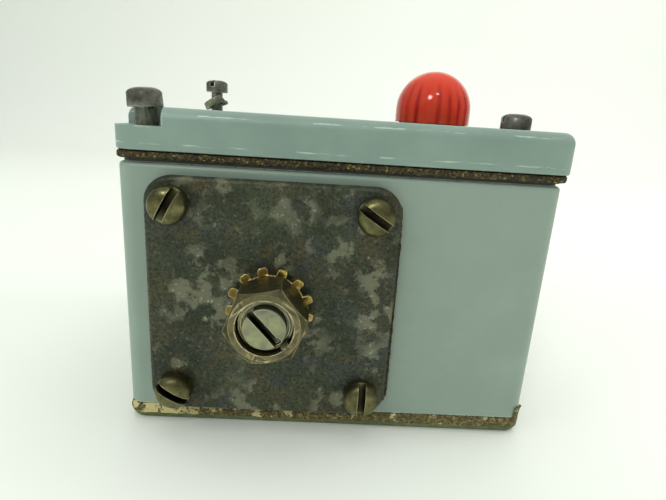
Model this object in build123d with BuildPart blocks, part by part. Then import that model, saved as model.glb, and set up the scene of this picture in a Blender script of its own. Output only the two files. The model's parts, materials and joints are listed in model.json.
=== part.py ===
"""Magnetic motor starter in a small cast box with a gasketed lid, an end plate with a trip adjuster and a
pilot lamp.

Frame: millimetres, +Z up, origin at the centre of the base plate's underside, adjuster end towards -Y.
"""

import os
from math import cos, radians, sin

from build123d import *

os.makedirs("parts", exist_ok=True)

# ---------------------------------------------------------------- driving dimensions
body_width = 84.0
body_depth = 70.0
body_corner = 3.0
body_wall = 2.6
plate_thickness = 2.4
gasket_thickness = 1.6
body_height = 50.0
land_height = 0.65
land_inset = 0.9
lid_height = 7.75
lid_overhang = 0.7
lid_shift = 0.45
lid_width = 85.8
fit_gap = 0.05

# heights of the stacked layers
base_gasket_z = plate_thickness
body_bottom_z = base_gasket_z + gasket_thickness
body_top_z = body_bottom_z + body_height
land_top_z = body_top_z + land_height
lid_bottom_z = land_top_z + gasket_thickness
lid_top_z = lid_bottom_z + lid_height
lid_depth = body_depth + 2 * lid_overhang
front_y = -body_depth / 2
rear_y = body_depth / 2
inner_width = body_width - 2 * body_wall
inner_depth = body_depth - 2 * body_wall

# cover screws: places, and how far each stands out of its seat
screw_radius = 2.1
head_radius = 3.2
plate_head_radius = 3.45
head_height = 3.5
column_radius = 4.4
column_x = 37.4
column_y = 30.4
side_boss_x = 37.7
side_boss_y = -16.8
seat_z = 60.6
lug_size = 9.2
screw_length = 20.0
raised = 3.2
raised_rear = 8.7
rear_relief_radius = 1.65
rear_relief_length = 10.0
split_washer_z = seat_z + 4.7
split_washer_tilt = 22.0
split_washer_radius = 3.5
split_washer_bore = 2.45
# the front left screw is loose in its hole and leans outwards
lean = 3.5
leaning_hole_x = -36.7
leaning_head_x = -37.1
leaning_hole_radius = 2.4
leaning_boss_radius = 2.85
leaning_length = 12.0

# end plate, its screws and the adjuster
end_x = -12.4
end_z = 28.9
end_size = 47.0
end_corner = 5.0
end_thickness = 2.0
end_pitch = 37.0
end_slot_angles = {(-1, 1): 62, (1, 1): -33, (-1, -1): -30, (1, -1): 90}
end_back_y = front_y - gasket_thickness
end_front_y = end_back_y - end_thickness
window_radius = 12.0
bush_radius = 4.76
shaft_radius = 4.1
flat_washer_height = 1.4
flat_washer_radius = 6.3
washer_height = 1.2
washer_ring = 6.9
washer_bore = 4.95
washer_teeth = 13
tooth_reach = 7.3
tooth_size = (1.8, 1.9, 0.55)
tooth_twist = 16.0
tooth_start = 18.6
nut_height = 8.1
nut_across_flats = 13.0
nut_turn = 10.0
nut_bore = 5.1
flat_washer_front_y = end_front_y - flat_washer_height
nut_back_y = flat_washer_front_y - washer_height
nut_front_y = nut_back_y - nut_height
bush_recess = 1.6
shaft_proud = 0.3
shaft_tail_radius = 3.0
shaft_slot_angle = -48.0

# pilot lamp
lamp_x = 22.85
lens_radius = 9.1
lens_wall = 0.9
lens_bottom_z = lid_top_z + 0.15
lens_centre_z = 67.35
seal_radius = 8.05
seal_thickness = 0.3

# conduit hub in the rear wall
hub_x = 17.5
hub_z = 27.0
hub_bore = 10.4
hub_barrel = 10.9
hub_radius = 14.5
hub_length = 12.0
hub_tail = 7.6
locknut_thickness = 2.8

# mounting panel and contactor
panel_z = 9.0
panel_thickness = 2.5
panel_top_z = panel_z + panel_thickness
ledge_width = 6.0
contactor_x = -11.0
contactor_y = 7.8
core_width = 34.0
core_depth = 12.0
core_back = 5.0
leg_height = 14.0
outer_leg = 5.0
centre_leg = 10.0
contactor_base_height = 3.5
core_z = panel_top_z + contactor_base_height
pole_z = core_z + core_back + leg_height
magnet_gap = 3.2
armature_z = pole_z + magnet_gap
armature_height = 5.0
carrier_z = armature_z + armature_height
block_top_z = 38.4
block_length = 43.0
block_depth = 40.0
pole_spacing = 12.0
strip_thickness = 1.2
tip_height = 1.0
terminal_offset = 16.6
bridge_z = block_top_z + strip_thickness + 2 * tip_height + magnet_gap

# overload relay
relay_x = -12.5
relay_y = -18.8
relay_width = 43.0
relay_depth = 10.5
relay_top_z = 40.0
cam_y = -29.0
cam_thickness = 3.0
cam_radius = 6.0
cam_throw = 1.5
lever_x = -3.0
pivot_z = 38.0

corners = [(x, y) for x in (-column_x, column_x) for y in (-column_y, column_y)]
lid_corners = [(-column_x, -column_y), (-column_x, column_y), (column_x, column_y)]
upright_screws = [(-column_x, column_y), (column_x, column_y), (side_boss_x, side_boss_y)]
leaning_screw = (leaning_hole_x, -column_y)
base_bolts = (60.0, 42.0)


def sign(value):
    return 1 if value > 0 else -1


def facing_front(x, y, z, angle=0.0):
    """Plane whose +Z looks out of the adjuster end, with its +X turned by angle as seen from there."""
    return Plane(origin=(x, y, z), x_dir=(cos(radians(angle)), 0, sin(radians(angle))), z_dir=(0, -1, 0))


def facing_rear(x, y, z):
    """Plane whose +Z looks out of the conduit end."""
    return Plane(origin=(x, y, z), x_dir=(-1, 0, 0), z_dir=(0, 1, 0))


def fillister_screw(radius, height, shank, length, slot_width=1.3, relief=0.0, relief_length=0.0):
    """Slotted screw with a domed cheese head: head underside at z 0, shank downwards, slot along X."""
    dome = height * 0.28
    with BuildPart() as screw:
        Cylinder(radius, height, align=(Align.CENTER, Align.CENTER, Align.MIN))
        fillet(screw.edges().group_by(Axis.Z)[-1], dome)
        with Locations((0, 0, height)):
            Box(3 * radius, slot_width, height, mode=Mode.SUBTRACT)
        Cylinder(shank, length, align=(Align.CENTER, Align.CENTER, Align.MAX))
        chamfer(screw.edges().group_by(Axis.Z)[0], shank * 0.25)
        if relief:
            with BuildSketch():
                Circle(shank + 1)
                Circle(relief, mode=Mode.SUBTRACT)
            extrude(amount=-relief_length, mode=Mode.SUBTRACT)
    return screw.part


def pan_screw(radius, height, shank, length):
    """Small slotted pan head screw: head underside at z 0, shank downwards."""
    with BuildPart() as screw:
        Cylinder(radius, height, align=(Align.CENTER, Align.CENTER, Align.MIN))
        fillet(screw.edges().group_by(Axis.Z)[-1], height * 0.4)
        with Locations((0, 0, height)):
            Box(3 * radius, radius * 0.3, height, mode=Mode.SUBTRACT)
        Cylinder(shank, length, align=(Align.CENTER, Align.CENTER, Align.MAX))
    return screw.part


def coil_spring(radius, wire, turns, height):
    """Round wire helix standing on z 0."""
    rise = height - 2 * wire
    path = Helix(pitch=rise / turns, height=rise, radius=radius)
    with BuildPart() as spring:
        with BuildSketch(Plane(path @ 0, z_dir=path % 0)):
            Circle(wire)
        sweep(path=path)
    return spring.part.moved(Location((0, 0, wire)))


# ---------------------------------------------------------------- cast box
with BuildPart() as housing:
    with BuildSketch(Plane.XY.offset(body_bottom_z)):
        RectangleRounded(body_width, body_depth, body_corner)
    extrude(amount=body_height)
    fillet(housing.edges().group_by(Axis.Z)[-1], 0.8)
    with BuildSketch(Plane.XY.offset(body_top_z)):
        RectangleRounded(body_width - 2 * land_inset, body_depth - 2 * land_inset, body_corner - land_inset)
    extrude(amount=land_height)
    # the inside, with the columns and the side boss left standing
    with BuildSketch(Plane.XY.offset(body_bottom_z)):
        RectangleRounded(inner_width, inner_depth, 1.0)
        with Locations(*corners):
            Circle(column_radius, mode=Mode.SUBTRACT)
    extrude(amount=body_height + land_height, mode=Mode.SUBTRACT)
    with BuildSketch(Plane.XY.offset(body_bottom_z + 14.0)):
        with Locations((column_x, -column_y)):
            Rectangle(2 * column_radius + 1, 2 * column_radius + 1)
        RectangleRounded(inner_width, inner_depth, 1.0, mode=Mode.INTERSECT)
    extrude(amount=body_height, mode=Mode.SUBTRACT)
    with BuildSketch(Plane.XY.offset(land_top_z)):
        with Locations((side_boss_x, side_boss_y)):
            Circle(column_radius)
        RectangleRounded(body_width - 2 * land_inset, body_depth - 2 * land_inset, 1.0, mode=Mode.INTERSECT)
    extrude(amount=-21.0)
    # ledges for the mounting panel
    with BuildSketch(Plane.XY.offset(body_bottom_z)):
        for side in (-1, 1):
            with Locations((side * (inner_width / 2 - ledge_width / 2), 0)):
                Rectangle(ledge_width, 16.0)
    extrude(amount=panel_z - body_bottom_z)
    # end plate window, with bosses for its four screws
    with BuildSketch(facing_front(end_x, -inner_depth / 2, end_z)):
        with GridLocations(end_pitch, end_pitch, 2, 2):
            Circle(3.6)
    extrude(amount=-4.0)
    with BuildSketch(facing_front(end_x, front_y, end_z)):
        Circle(window_radius)
    extrude(amount=-body_wall, mode=Mode.SUBTRACT)
    with Locations(facing_front(end_x, front_y, end_z)):
        with GridLocations(end_pitch, end_pitch, 2, 2):
            Hole(2.05, body_wall + 3.2)
    # conduit knockout in the rear wall
    with Locations(facing_rear(hub_x, rear_y, hub_z)):
        Hole(hub_barrel + 0.2, body_wall)
    # tapped holes: cover screws from above, base and panel screws from below
    with Locations(*[(x, y, land_top_z) for x, y in upright_screws]):
        Hole(screw_radius + fit_gap, 17.0)
    with Locations((*leaning_screw, land_top_z)):
        Hole(leaning_boss_radius, 10.0)
    with Locations(*[Plane(origin=(x, y, body_bottom_z), z_dir=(0, 0, -1)) for x, y in corners]):
        Hole(1.6, 11.0)
    with Locations((0, 0, panel_z)):
        with GridLocations(72.0, 10.0, 2, 2):
            Hole(1.55, 4.0)
housing.part.label = "housing"

with BuildPart() as base_plate:
    with BuildSketch():
        RectangleRounded(body_width, body_depth, body_corner)
    extrude(amount=plate_thickness)
    fillet(base_plate.edges().group_by(Axis.Z)[0], 1.6)
    with Locations(*[Plane(origin=(x, y, 0), z_dir=(0, 0, -1)) for x, y in corners]):
        CounterSinkHole(1.6, 3.3, plate_thickness)
    with Locations((0, 0, plate_thickness)):
        with GridLocations(base_bolts[0], base_bolts[1], 2, 2):
            Hole(3.0, plate_thickness)
base_plate.part.label = "base_plate"

with BuildPart() as base_gasket:
    with BuildSketch(Plane.XY.offset(base_gasket_z)):
        RectangleRounded(body_width, body_depth, body_corner)
        Rectangle(body_width - 12.0, body_depth - 12.0, mode=Mode.SUBTRACT)
        with Locations(*corners):
            Circle(5.4)
            Circle(1.8, mode=Mode.SUBTRACT)
        RectangleRounded(body_width, body_depth, body_corner, mode=Mode.INTERSECT)
    extrude(amount=gasket_thickness)
base_gasket.part.label = "base_gasket"

with BuildPart() as base_screw:
    with BuildSketch(Plane.XZ):
        with BuildLine():
            Polyline((0, 0.1), (3.0, 0.1), (1.5, 1.75), (1.5, 12.0), (0, 12.0), close=True)
        make_face()
    revolve(axis=Axis.Z)
    Box(7.0, 0.8, 1.6, mode=Mode.SUBTRACT)
with BuildPart() as base_screws:
    with Locations(*corners):
        add(base_screw.part)
base_screws.part.label = "base_screws"

with BuildPart() as clinch_nut:
    with BuildSketch(Plane.XZ):
        with BuildLine():
            Polyline(
                (2.1, 0.2), (2.95, 0.2), (2.95, plate_thickness), (4.4, plate_thickness), (4.4, 6.0), (2.1, 6.0),
                close=True)
        make_face()
    revolve(axis=Axis.Z)
with BuildPart() as base_clinch_nuts:
    with GridLocations(base_bolts[0], base_bolts[1], 2, 2):
        add(clinch_nut.part)
base_clinch_nuts.part.label = "base_clinch_nuts"

# ---------------------------------------------------------------- lid and its gasket
with BuildPart() as lid:
    with BuildSketch(Plane.XY.offset(lid_bottom_z)):
        with Locations((lid_shift, 0)):
            RectangleRounded(lid_width, lid_depth, 4.0)
    extrude(amount=lid_height)
    fillet(lid.edges().group_by(Axis.Z)[-1], 2.2)
    fillet(lid.edges().group_by(Axis.Z)[0], 0.35)
    # cavity under the roof, with solid lugs at the screws
    with BuildSketch(Plane.XY.offset(lid_bottom_z)):
        RectangleRounded(inner_width - 4.0, inner_depth - 4.0, 1.5)
        with Locations(*lid_corners):
            Circle(8.2, mode=Mode.SUBTRACT)
        with Locations((side_boss_x, side_boss_y)):
            Circle(7.6, mode=Mode.SUBTRACT)
    extrude(amount=lid_height - 2.9, mode=Mode.SUBTRACT)
    # scallops that seat the screw heads
    with BuildSketch(Plane.XY.offset(seat_z)):
        with Locations(*[(x + 3.0 * sign(x), y + 3.0 * sign(y)) for x, y in lid_corners]):
            RectangleRounded(2 * (lug_size - 1.8), 2 * (lug_size - 1.8), 3.6)
        with Locations((side_boss_x, side_boss_y)):
            Circle(4.6)
        with Locations((side_boss_x + 6.0, side_boss_y)):
            Rectangle(12.0, 9.2)
    extrude(amount=lid_height, mode=Mode.SUBTRACT)
    with Locations(*[(x, y, seat_z) for x, y in upright_screws]):
        Hole(screw_radius + 0.2, seat_z - lid_bottom_z)
    with Locations((*leaning_screw, seat_z)):
        Hole(leaning_hole_radius, seat_z - lid_bottom_z)
    with Locations((lamp_x, 0, lid_top_z)):
        Hole(6.5, lid_height)
lid.part.label = "lid"

with BuildPart() as lid_gasket:
    with BuildSketch(Plane.XY.offset(land_top_z)):
        with Locations((0.3, 0)):
            RectangleRounded(lid_width - 0.4, lid_depth - 0.3, 3.5)
        Rectangle(body_width - 13.0, body_depth - 13.0, mode=Mode.SUBTRACT)
        with Locations(*lid_corners):
            RectangleRounded(13.0, 13.0, 3.0)
        with Locations((side_boss_x, side_boss_y)):
            Circle(5.6)
        with Locations((0.3, 0)):
            RectangleRounded(lid_width - 0.4, lid_depth - 0.3, 3.5, mode=Mode.INTERSECT)
        with Locations(*upright_screws, leaning_screw):
            Circle(screw_radius + 0.4, mode=Mode.SUBTRACT)
    extrude(amount=gasket_thickness)
lid_gasket.part.label = "lid_gasket"

# ---------------------------------------------------------------- captive cover screws
cover_screw = fillister_screw(head_radius, head_height, screw_radius, screw_length)
short_screw = fillister_screw(head_radius, head_height, screw_radius, leaning_length)
rear_screw = fillister_screw(
    head_radius, head_height, screw_radius, screw_length,
    relief=rear_relief_radius, relief_length=rear_relief_length)

with BuildPart() as cover_screw_front_left:
    with Locations(Location((leaning_head_x, -column_y, seat_z + raised), (0, -lean, 20))):
        add(short_screw)
cover_screw_front_left.part.label = "cover_screw_front_left"

with BuildPart() as cover_screw_rear_left:
    with Locations(Location((-column_x, column_y, seat_z + raised_rear), (0, 0, 75))):
        add(rear_screw)
cover_screw_rear_left.part.label = "cover_screw_rear_left"

with BuildPart() as cover_screw_right:
    with Locations(Location((side_boss_x, side_boss_y, seat_z + raised), (0, 0, 75))):
        add(cover_screw)
cover_screw_right.part.label = "cover_screw_right"

with BuildPart() as cover_screw_rear_right:
    with Locations(Location((column_x, column_y, seat_z + raised), (0, 0, 40))):
        add(cover_screw)
cover_screw_rear_right.part.label = "cover_screw_rear_right"

# split lock washer, hanging askew on the raised screw
with BuildPart() as cover_lock_washer:
    with BuildSketch(Plane(origin=(-column_x, column_y, split_washer_z)).rotated((0, -split_washer_tilt, 0))):
        Circle(split_washer_radius)
        Circle(split_washer_bore, mode=Mode.SUBTRACT)
        with Locations((2.8, -1.6)):
            Rectangle(2.4, 0.6, rotation=-30, mode=Mode.SUBTRACT)
    extrude(amount=1.0)
cover_lock_washer.part.label = "cover_lock_washer"

# ---------------------------------------------------------------- end plate and adjuster
with BuildPart() as end_plate_gasket:
    with BuildSketch(facing_front(end_x + 0.5, front_y, end_z - 0.5, 0.6)):
        RectangleRounded(end_size + 0.6, end_size - 0.6, end_corner)
    with BuildSketch(facing_front(end_x, front_y, end_z)) as gasket_holes:
        Circle(window_radius - 2.0)
        with GridLocations(end_pitch, end_pitch, 2, 2):
            Circle(2.3)
    extrude(end_plate_gasket.pending_faces[0], amount=gasket_thickness)
    extrude(gasket_holes.sketch, amount=gasket_thickness, mode=Mode.SUBTRACT)
end_plate_gasket.part.label = "end_plate_gasket"

with BuildPart() as end_plate:
    with BuildSketch(facing_front(end_x, end_back_y, end_z)):
        RectangleRounded(end_size, end_size, end_corner)
    extrude(amount=end_thickness)
    fillet(end_plate.edges().group_by(Axis.Y)[0], 0.9)
    with Locations(facing_front(end_x, end_front_y, end_z)):
        Hole(bush_radius + fit_gap, end_thickness)
        with GridLocations(end_pitch, end_pitch, 2, 2):
            Hole(2.3, end_thickness)
end_plate.part.label = "end_plate"

plate_screw = fillister_screw(plate_head_radius, 3.6, 2.0, 7.5)
with BuildPart() as end_plate_screws:
    for (side, level), slot_angle in end_slot_angles.items():
        screw_x = end_x + side * end_pitch / 2
        screw_z = end_z + level * end_pitch / 2
        with Locations(facing_front(screw_x, end_front_y - fit_gap, screw_z, slot_angle)):
            add(plate_screw)
end_plate_screws.part.label = "end_plate_screws"

with BuildPart() as adjuster_bush:
    with BuildSketch(facing_front(end_x, end_back_y, end_z)):
        Circle(bush_radius)
    extrude(amount=end_back_y - nut_front_y - bush_recess)
    with BuildSketch(facing_front(end_x, end_back_y, end_z)):
        Circle(7.2)
    extrude(amount=-2.2)
    with BuildSketch(facing_front(end_x, end_back_y + 2.2, end_z)):
        Circle(5.6)
    extrude(amount=-3.0)
    with Locations(facing_front(end_x, nut_front_y, end_z)):
        Hole(shaft_radius + fit_gap, 24.0)
adjuster_bush.part.label = "adjuster_bush"

with BuildPart() as flat_washer:
    with BuildSketch(facing_front(end_x, end_front_y, end_z)):
        Circle(flat_washer_radius)
        Circle(bush_radius + 2 * fit_gap, mode=Mode.SUBTRACT)
    extrude(amount=flat_washer_height)
    fillet(flat_washer.edges().filter_by(GeomType.CIRCLE).group_by(SortBy.RADIUS)[-1], 0.3)
flat_washer.part.label = "flat_washer"

with BuildPart() as tooth_lock_washer:
    with BuildSketch(facing_front(end_x, flat_washer_front_y - 0.2, end_z)):
        Circle(washer_ring)
        Circle(washer_bore, mode=Mode.SUBTRACT)
    extrude(amount=washer_height - 0.4)
    with Locations(facing_front(end_x, flat_washer_front_y - washer_height / 2, end_z, tooth_start)):
        with PolarLocations(tooth_reach, washer_teeth):
            Box(*tooth_size, rotation=(tooth_twist, 0, 0))
tooth_lock_washer.part.label = "tooth_lock_washer"

with BuildPart() as hex_nut:
    with BuildSketch(facing_front(end_x, nut_back_y, end_z, nut_turn)):
        RegularPolygon(nut_across_flats / 2, 6, major_radius=False)
    extrude(amount=nut_height)
    with BuildSketch(facing_front(end_x, nut_back_y, end_z)):
        Circle(nut_across_flats / 2 * 1.13)
    extrude(amount=nut_height, mode=Mode.INTERSECT)
    with BuildSketch(facing_front(end_x, nut_back_y, end_z)):
        Circle(nut_bore)
    extrude(amount=nut_height, mode=Mode.SUBTRACT)
hex_nut.part.label = "hex_nut"

shaft_step_y = end_back_y + 5.6
shaft_front_y = nut_front_y - shaft_proud
with BuildPart() as adjuster_shaft:
    with BuildSketch(facing_front(end_x, shaft_step_y, end_z)):
        Circle(shaft_radius)
    extrude(amount=shaft_step_y - shaft_front_y)
    chamfer(adjuster_shaft.edges().group_by(Axis.Y)[0], 0.4)
    with BuildSketch(facing_front(end_x, shaft_front_y, end_z, shaft_slot_angle)):
        Rectangle(3 * shaft_radius, 1.3)
    extrude(amount=-1.8, mode=Mode.SUBTRACT)
    with BuildSketch(facing_front(end_x, shaft_step_y, end_z)):
        Circle(shaft_tail_radius)
    extrude(amount=-6.0)
adjuster_shaft.part.label = "adjuster_shaft"

with BuildPart() as adjuster_cam:
    with BuildSketch(facing_front(end_x, cam_y + cam_thickness / 2, end_z)):
        with Locations((-cam_throw, 0)):
            Circle(cam_radius)
        Circle(shaft_tail_radius, mode=Mode.SUBTRACT)
    extrude(amount=cam_thickness)
adjuster_cam.part.label = "adjuster_cam"

# ---------------------------------------------------------------- pilot lamp on the lid
with BuildPart() as lamp_seal:
    with BuildSketch(Plane.XY.offset(lid_top_z)):
        with Locations((lamp_x, 0)):
            Circle(seal_radius)
            Circle(6.35, mode=Mode.SUBTRACT)
    extrude(amount=seal_thickness)
lamp_seal.part.label = "lamp_seal"

with BuildPart() as lamp_holder:
    with BuildSketch(Plane.XY.offset(lid_top_z + 0.3)):
        with Locations((lamp_x, 0)):
            Circle(8.05)
    extrude(amount=2.0)
    with BuildSketch(Plane.XY.offset(lid_top_z + 0.3)):
        with Locations((lamp_x, 0)):
            Circle(6.3)
    extrude(amount=-14.0)
    with Locations((lamp_x, 0, lid_top_z + 2.3)):
        Hole(5.25, 20.0)
lamp_holder.part.label = "lamp_holder"

with BuildPart() as lamp_nut:
    with BuildSketch(Plane.XY.offset(lid_top_z - 2.9)):
        with Locations((lamp_x, 0)):
            RegularPolygon(8.5, 6, major_radius=False)
            Circle(6.35, mode=Mode.SUBTRACT)
    extrude(amount=-2.8)
lamp_nut.part.label = "lamp_nut"

with BuildPart() as lamp_socket:
    with BuildSketch(Plane.XY.offset(lid_top_z - 19.0)):
        with Locations((lamp_x, 0)):
            Circle(5.2)
    extrude(amount=10.5)
    with BuildSketch(Plane.XY.offset(lid_top_z - 19.0)):
        with Locations((lamp_x, 0)):
            Circle(6.3)
    extrude(amount=5.0)
lamp_socket.part.label = "lamp_socket"

with BuildPart() as lamp_terminals:
    for side in (-1, 1):
        with Locations((lamp_x + side * 2.8, 0, lid_top_z - 19.0)):
            Box(0.8, 3.2, 5.0, align=(Align.CENTER, Align.CENTER, Align.MAX))
lamp_terminals.part.label = "lamp_terminals"

with BuildPart() as bulb_cap:
    with BuildSketch(Plane.XY.offset(lid_top_z - 8.4)):
        with Locations((lamp_x, 0)):
            Circle(4.6)
    extrude(amount=7.0)
bulb_cap.part.label = "bulb_cap"

with BuildPart() as bulb_glass:
    with BuildSketch(Plane.XY.offset(lid_top_z - 1.4)):
        with Locations((lamp_x, 0)):
            Circle(4.2)
    extrude(amount=6.8)
    fillet(bulb_glass.edges().group_by(Axis.Z)[-1], 4.0)
bulb_glass.part.label = "bulb_glass"

lens_bore = lens_radius - lens_wall
with BuildPart() as lamp_lens:
    with BuildSketch(Plane.XZ):
        with BuildLine():
            crown = (0, lens_centre_z + lens_radius)
            inner_crown = (0, lens_centre_z + lens_bore)
            RadiusArc(crown, (lens_radius, lens_centre_z), lens_radius)
            Line((lens_radius, lens_centre_z), (lens_radius, lens_bottom_z))
            Line((lens_radius, lens_bottom_z), (lens_bore, lens_bottom_z))
            Line((lens_bore, lens_bottom_z), (lens_bore, lens_centre_z))
            RadiusArc((lens_bore, lens_centre_z), inner_crown, -lens_bore)
            Line(inner_crown, crown)
        make_face()
    revolve(axis=Axis.Z)
lamp_lens.part = lamp_lens.part.moved(Location((lamp_x, 0, 0)))
lamp_lens.part.label = "lamp_lens"

# ---------------------------------------------------------------- conduit hub at the rear
with BuildPart() as hub_gasket:
    with BuildSketch(facing_rear(hub_x, rear_y, hub_z)):
        Circle(hub_radius - 0.5)
        Circle(hub_barrel + 0.1, mode=Mode.SUBTRACT)
    extrude(amount=1.5)
hub_gasket.part.label = "hub_gasket"

with BuildPart() as conduit_hub:
    with BuildSketch(facing_rear(hub_x, rear_y + 1.5, hub_z)):
        RegularPolygon(hub_radius, 8, major_radius=False)
    extrude(amount=hub_length)
    chamfer(conduit_hub.edges().group_by(Axis.Y)[-1], 0.8)
    with BuildSketch(facing_rear(hub_x, rear_y + 1.5, hub_z)):
        Circle(hub_barrel)
    extrude(amount=-hub_tail)
    with Locations(facing_rear(hub_x, rear_y + 1.5 + hub_length, hub_z)):
        Hole(8.4, 40.0)
        Hole(hub_bore, hub_length - 1.0)
conduit_hub.part.label = "conduit_hub"

with BuildPart() as conduit_locknut:
    with BuildSketch(facing_rear(hub_x, inner_depth / 2 - locknut_thickness, hub_z)):
        Circle(hub_radius)
        with PolarLocations(hub_radius, 8):
            Rectangle(2.4, 3.6, mode=Mode.SUBTRACT)
        Circle(hub_barrel + 0.02, mode=Mode.SUBTRACT)
    extrude(amount=locknut_thickness)
conduit_locknut.part.label = "conduit_locknut"

# ---------------------------------------------------------------- mounting panel
with BuildPart() as mounting_panel:
    with BuildSketch(Plane.XY.offset(panel_z)):
        with Locations((0, 1.95)):
            Rectangle(inner_width - 1.6, inner_depth - 5.1)
        with Locations(*corners):
            Rectangle(14.0, 11.5, mode=Mode.SUBTRACT)
        with GridLocations(72.0, 10.0, 2, 2):
            Circle(1.8, mode=Mode.SUBTRACT)
    extrude(amount=panel_thickness)
mounting_panel.part.label = "mounting_panel"

panel_screw = pan_screw(2.8, 1.8, 1.5, 5.5)
with BuildPart() as panel_screws:
    with Locations((0, 0, panel_top_z)):
        with GridLocations(72.0, 10.0, 2, 2):
            add(panel_screw)
panel_screws.part.label = "panel_screws"

# ---------------------------------------------------------------- contactor: magnet and coil
magnet_origin = (contactor_x, contactor_y + core_depth / 2, core_z)
magnet_plane = Plane(origin=magnet_origin, x_dir=(1, 0, 0), z_dir=(0, -1, 0))

with BuildPart() as magnet_core:
    with BuildSketch(magnet_plane):
        Rectangle(core_width, core_back + leg_height, align=(Align.CENTER, Align.MIN))
        window_width = (core_width - 2 * outer_leg - centre_leg) / 2
        for side in (-1, 1):
            with Locations((side * (centre_leg + window_width) / 2, core_back)):
                Rectangle(window_width, leg_height, align=(Align.CENTER, Align.MIN), mode=Mode.SUBTRACT)
        with Locations((-core_width / 2, 0), (core_width / 2, 0)):
            Circle(1.2, mode=Mode.SUBTRACT)
    extrude(amount=core_depth)
    # grooves in the outer poles for the shading rings
    with BuildSketch(Plane.XY.offset(pole_z)):
        for side in (-1, 1):
            with Locations((contactor_x + side * (core_width - outer_leg) / 2, contactor_y)):
                Rectangle(outer_leg, 1.2)
    extrude(amount=-2.0, mode=Mode.SUBTRACT)
magnet_core.part.label = "magnet_core"

with BuildPart() as shading_rings:
    with BuildSketch(Plane.XY.offset(pole_z - 0.5)):
        for side in (-1, 1):
            with Locations((contactor_x + side * (core_width - outer_leg) / 2, contactor_y)):
                Rectangle(outer_leg, 1.1)
    extrude(amount=-1.4)
shading_rings.part.label = "shading_rings"

bobbin_z = core_z + core_back + 0.2
bobbin_height = leg_height - 0.8
with BuildPart() as coil_bobbin:
    with BuildSketch(Plane.XY.offset(bobbin_z)):
        with Locations((contactor_x, contactor_y)):
            Rectangle(23.0, 25.4)
    extrude(amount=1.0)
    with BuildSketch(Plane.XY.offset(bobbin_z)):
        with Locations((contactor_x, contactor_y)):
            Rectangle(12.2, 14.2)
    extrude(amount=bobbin_height)
    with BuildSketch(Plane.XY.offset(bobbin_z + bobbin_height - 1.0)):
        with Locations((contactor_x, contactor_y)):
            Rectangle(23.0, 25.4)
    extrude(amount=1.0)
    with BuildSketch(Plane.XY.offset(bobbin_z)):
        with Locations((contactor_x, contactor_y)):
            Rectangle(centre_leg + 0.3, core_depth + 0.3)
    extrude(amount=bobbin_height, mode=Mode.SUBTRACT)
coil_bobbin.part.label = "coil_bobbin"

with BuildPart() as coil_winding:
    with BuildSketch(Plane.XY.offset(bobbin_z + 1.1)):
        with Locations((contactor_x, contactor_y)):
            RectangleRounded(22.4, 24.8, 4.0)
            Rectangle(12.4, 14.4, mode=Mode.SUBTRACT)
    extrude(amount=bobbin_height - 2.2)
coil_winding.part.label = "coil_winding"

with BuildPart() as contactor_base:
    with BuildSketch(Plane.XY.offset(panel_top_z)):
        with Locations((contactor_x, contactor_y)):
            RectangleRounded(block_length, block_depth, 1.5)
    extrude(amount=contactor_base_height)
contactor_base.part.label = "contactor_base"

with BuildPart() as contact_block:
    with BuildSketch(Plane.XY.offset(core_z)):
        with Locations((contactor_x, contactor_y)):
            RectangleRounded(block_length, block_depth, 1.5)
            Rectangle(core_width + 1.0, 26.6, mode=Mode.SUBTRACT)
    extrude(amount=block_top_z - core_z)
    # lower end walls, which seat the return springs
    with BuildSketch(Plane.XY.offset(block_top_z)):
        for side in (-1, 1):
            with Locations((contactor_x + side * (block_length / 2), contactor_y)):
                Rectangle(9.0, 22.0)
    extrude(amount=-2.4, mode=Mode.SUBTRACT)
    # ribs between the poles
    with BuildSketch(Plane.XY.offset(block_top_z)):
        for side in (-1, 1):
            with Locations((contactor_x, contactor_y + side * terminal_offset)):
                with GridLocations(pole_spacing, 1, 4, 1):
                    Rectangle(1.6, 6.8)
    extrude(amount=5.0)
    with Locations((contactor_x, contactor_y, block_top_z)):
        with GridLocations(pole_spacing, 2 * terminal_offset, 3, 2):
            Hole(1.45, 6.0)
contact_block.part.label = "contact_block"

with BuildPart() as fixed_contacts:
    for side in (-1, 1):
        with BuildSketch(Plane.XY.offset(block_top_z)):
            with Locations((contactor_x, contactor_y + side * 14.4)):
                with GridLocations(pole_spacing, 1, 3, 1):
                    Rectangle(7.0, 10.4)
        extrude(amount=strip_thickness)
        with BuildSketch(Plane.XY.offset(block_top_z + strip_thickness)):
            with Locations((contactor_x, contactor_y + side * 11.2)):
                with GridLocations(pole_spacing, 1, 3, 1):
                    Circle(1.8)
        extrude(amount=tip_height)
    with Locations((contactor_x, contactor_y, block_top_z + strip_thickness)):
        with GridLocations(pole_spacing, 2 * terminal_offset, 3, 2):
            Hole(1.45, strip_thickness)
fixed_contacts.part.label = "fixed_contacts"

terminal_screw = pan_screw(2.7, 2.0, 1.4, 5.0)
with BuildPart() as terminal_screws:
    with Locations((contactor_x, contactor_y, block_top_z + strip_thickness)):
        with GridLocations(pole_spacing, 2 * terminal_offset, 3, 2):
            add(terminal_screw)
terminal_screws.part.label = "terminal_screws"

# ---------------------------------------------------------------- contactor: what moves
with BuildPart() as armature:
    with BuildSketch(Plane.XY.offset(armature_z)):
        with Locations((contactor_x, contactor_y)):
            Rectangle(core_width, core_depth)
    extrude(amount=armature_height)
armature.part.label = "armature"

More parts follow.
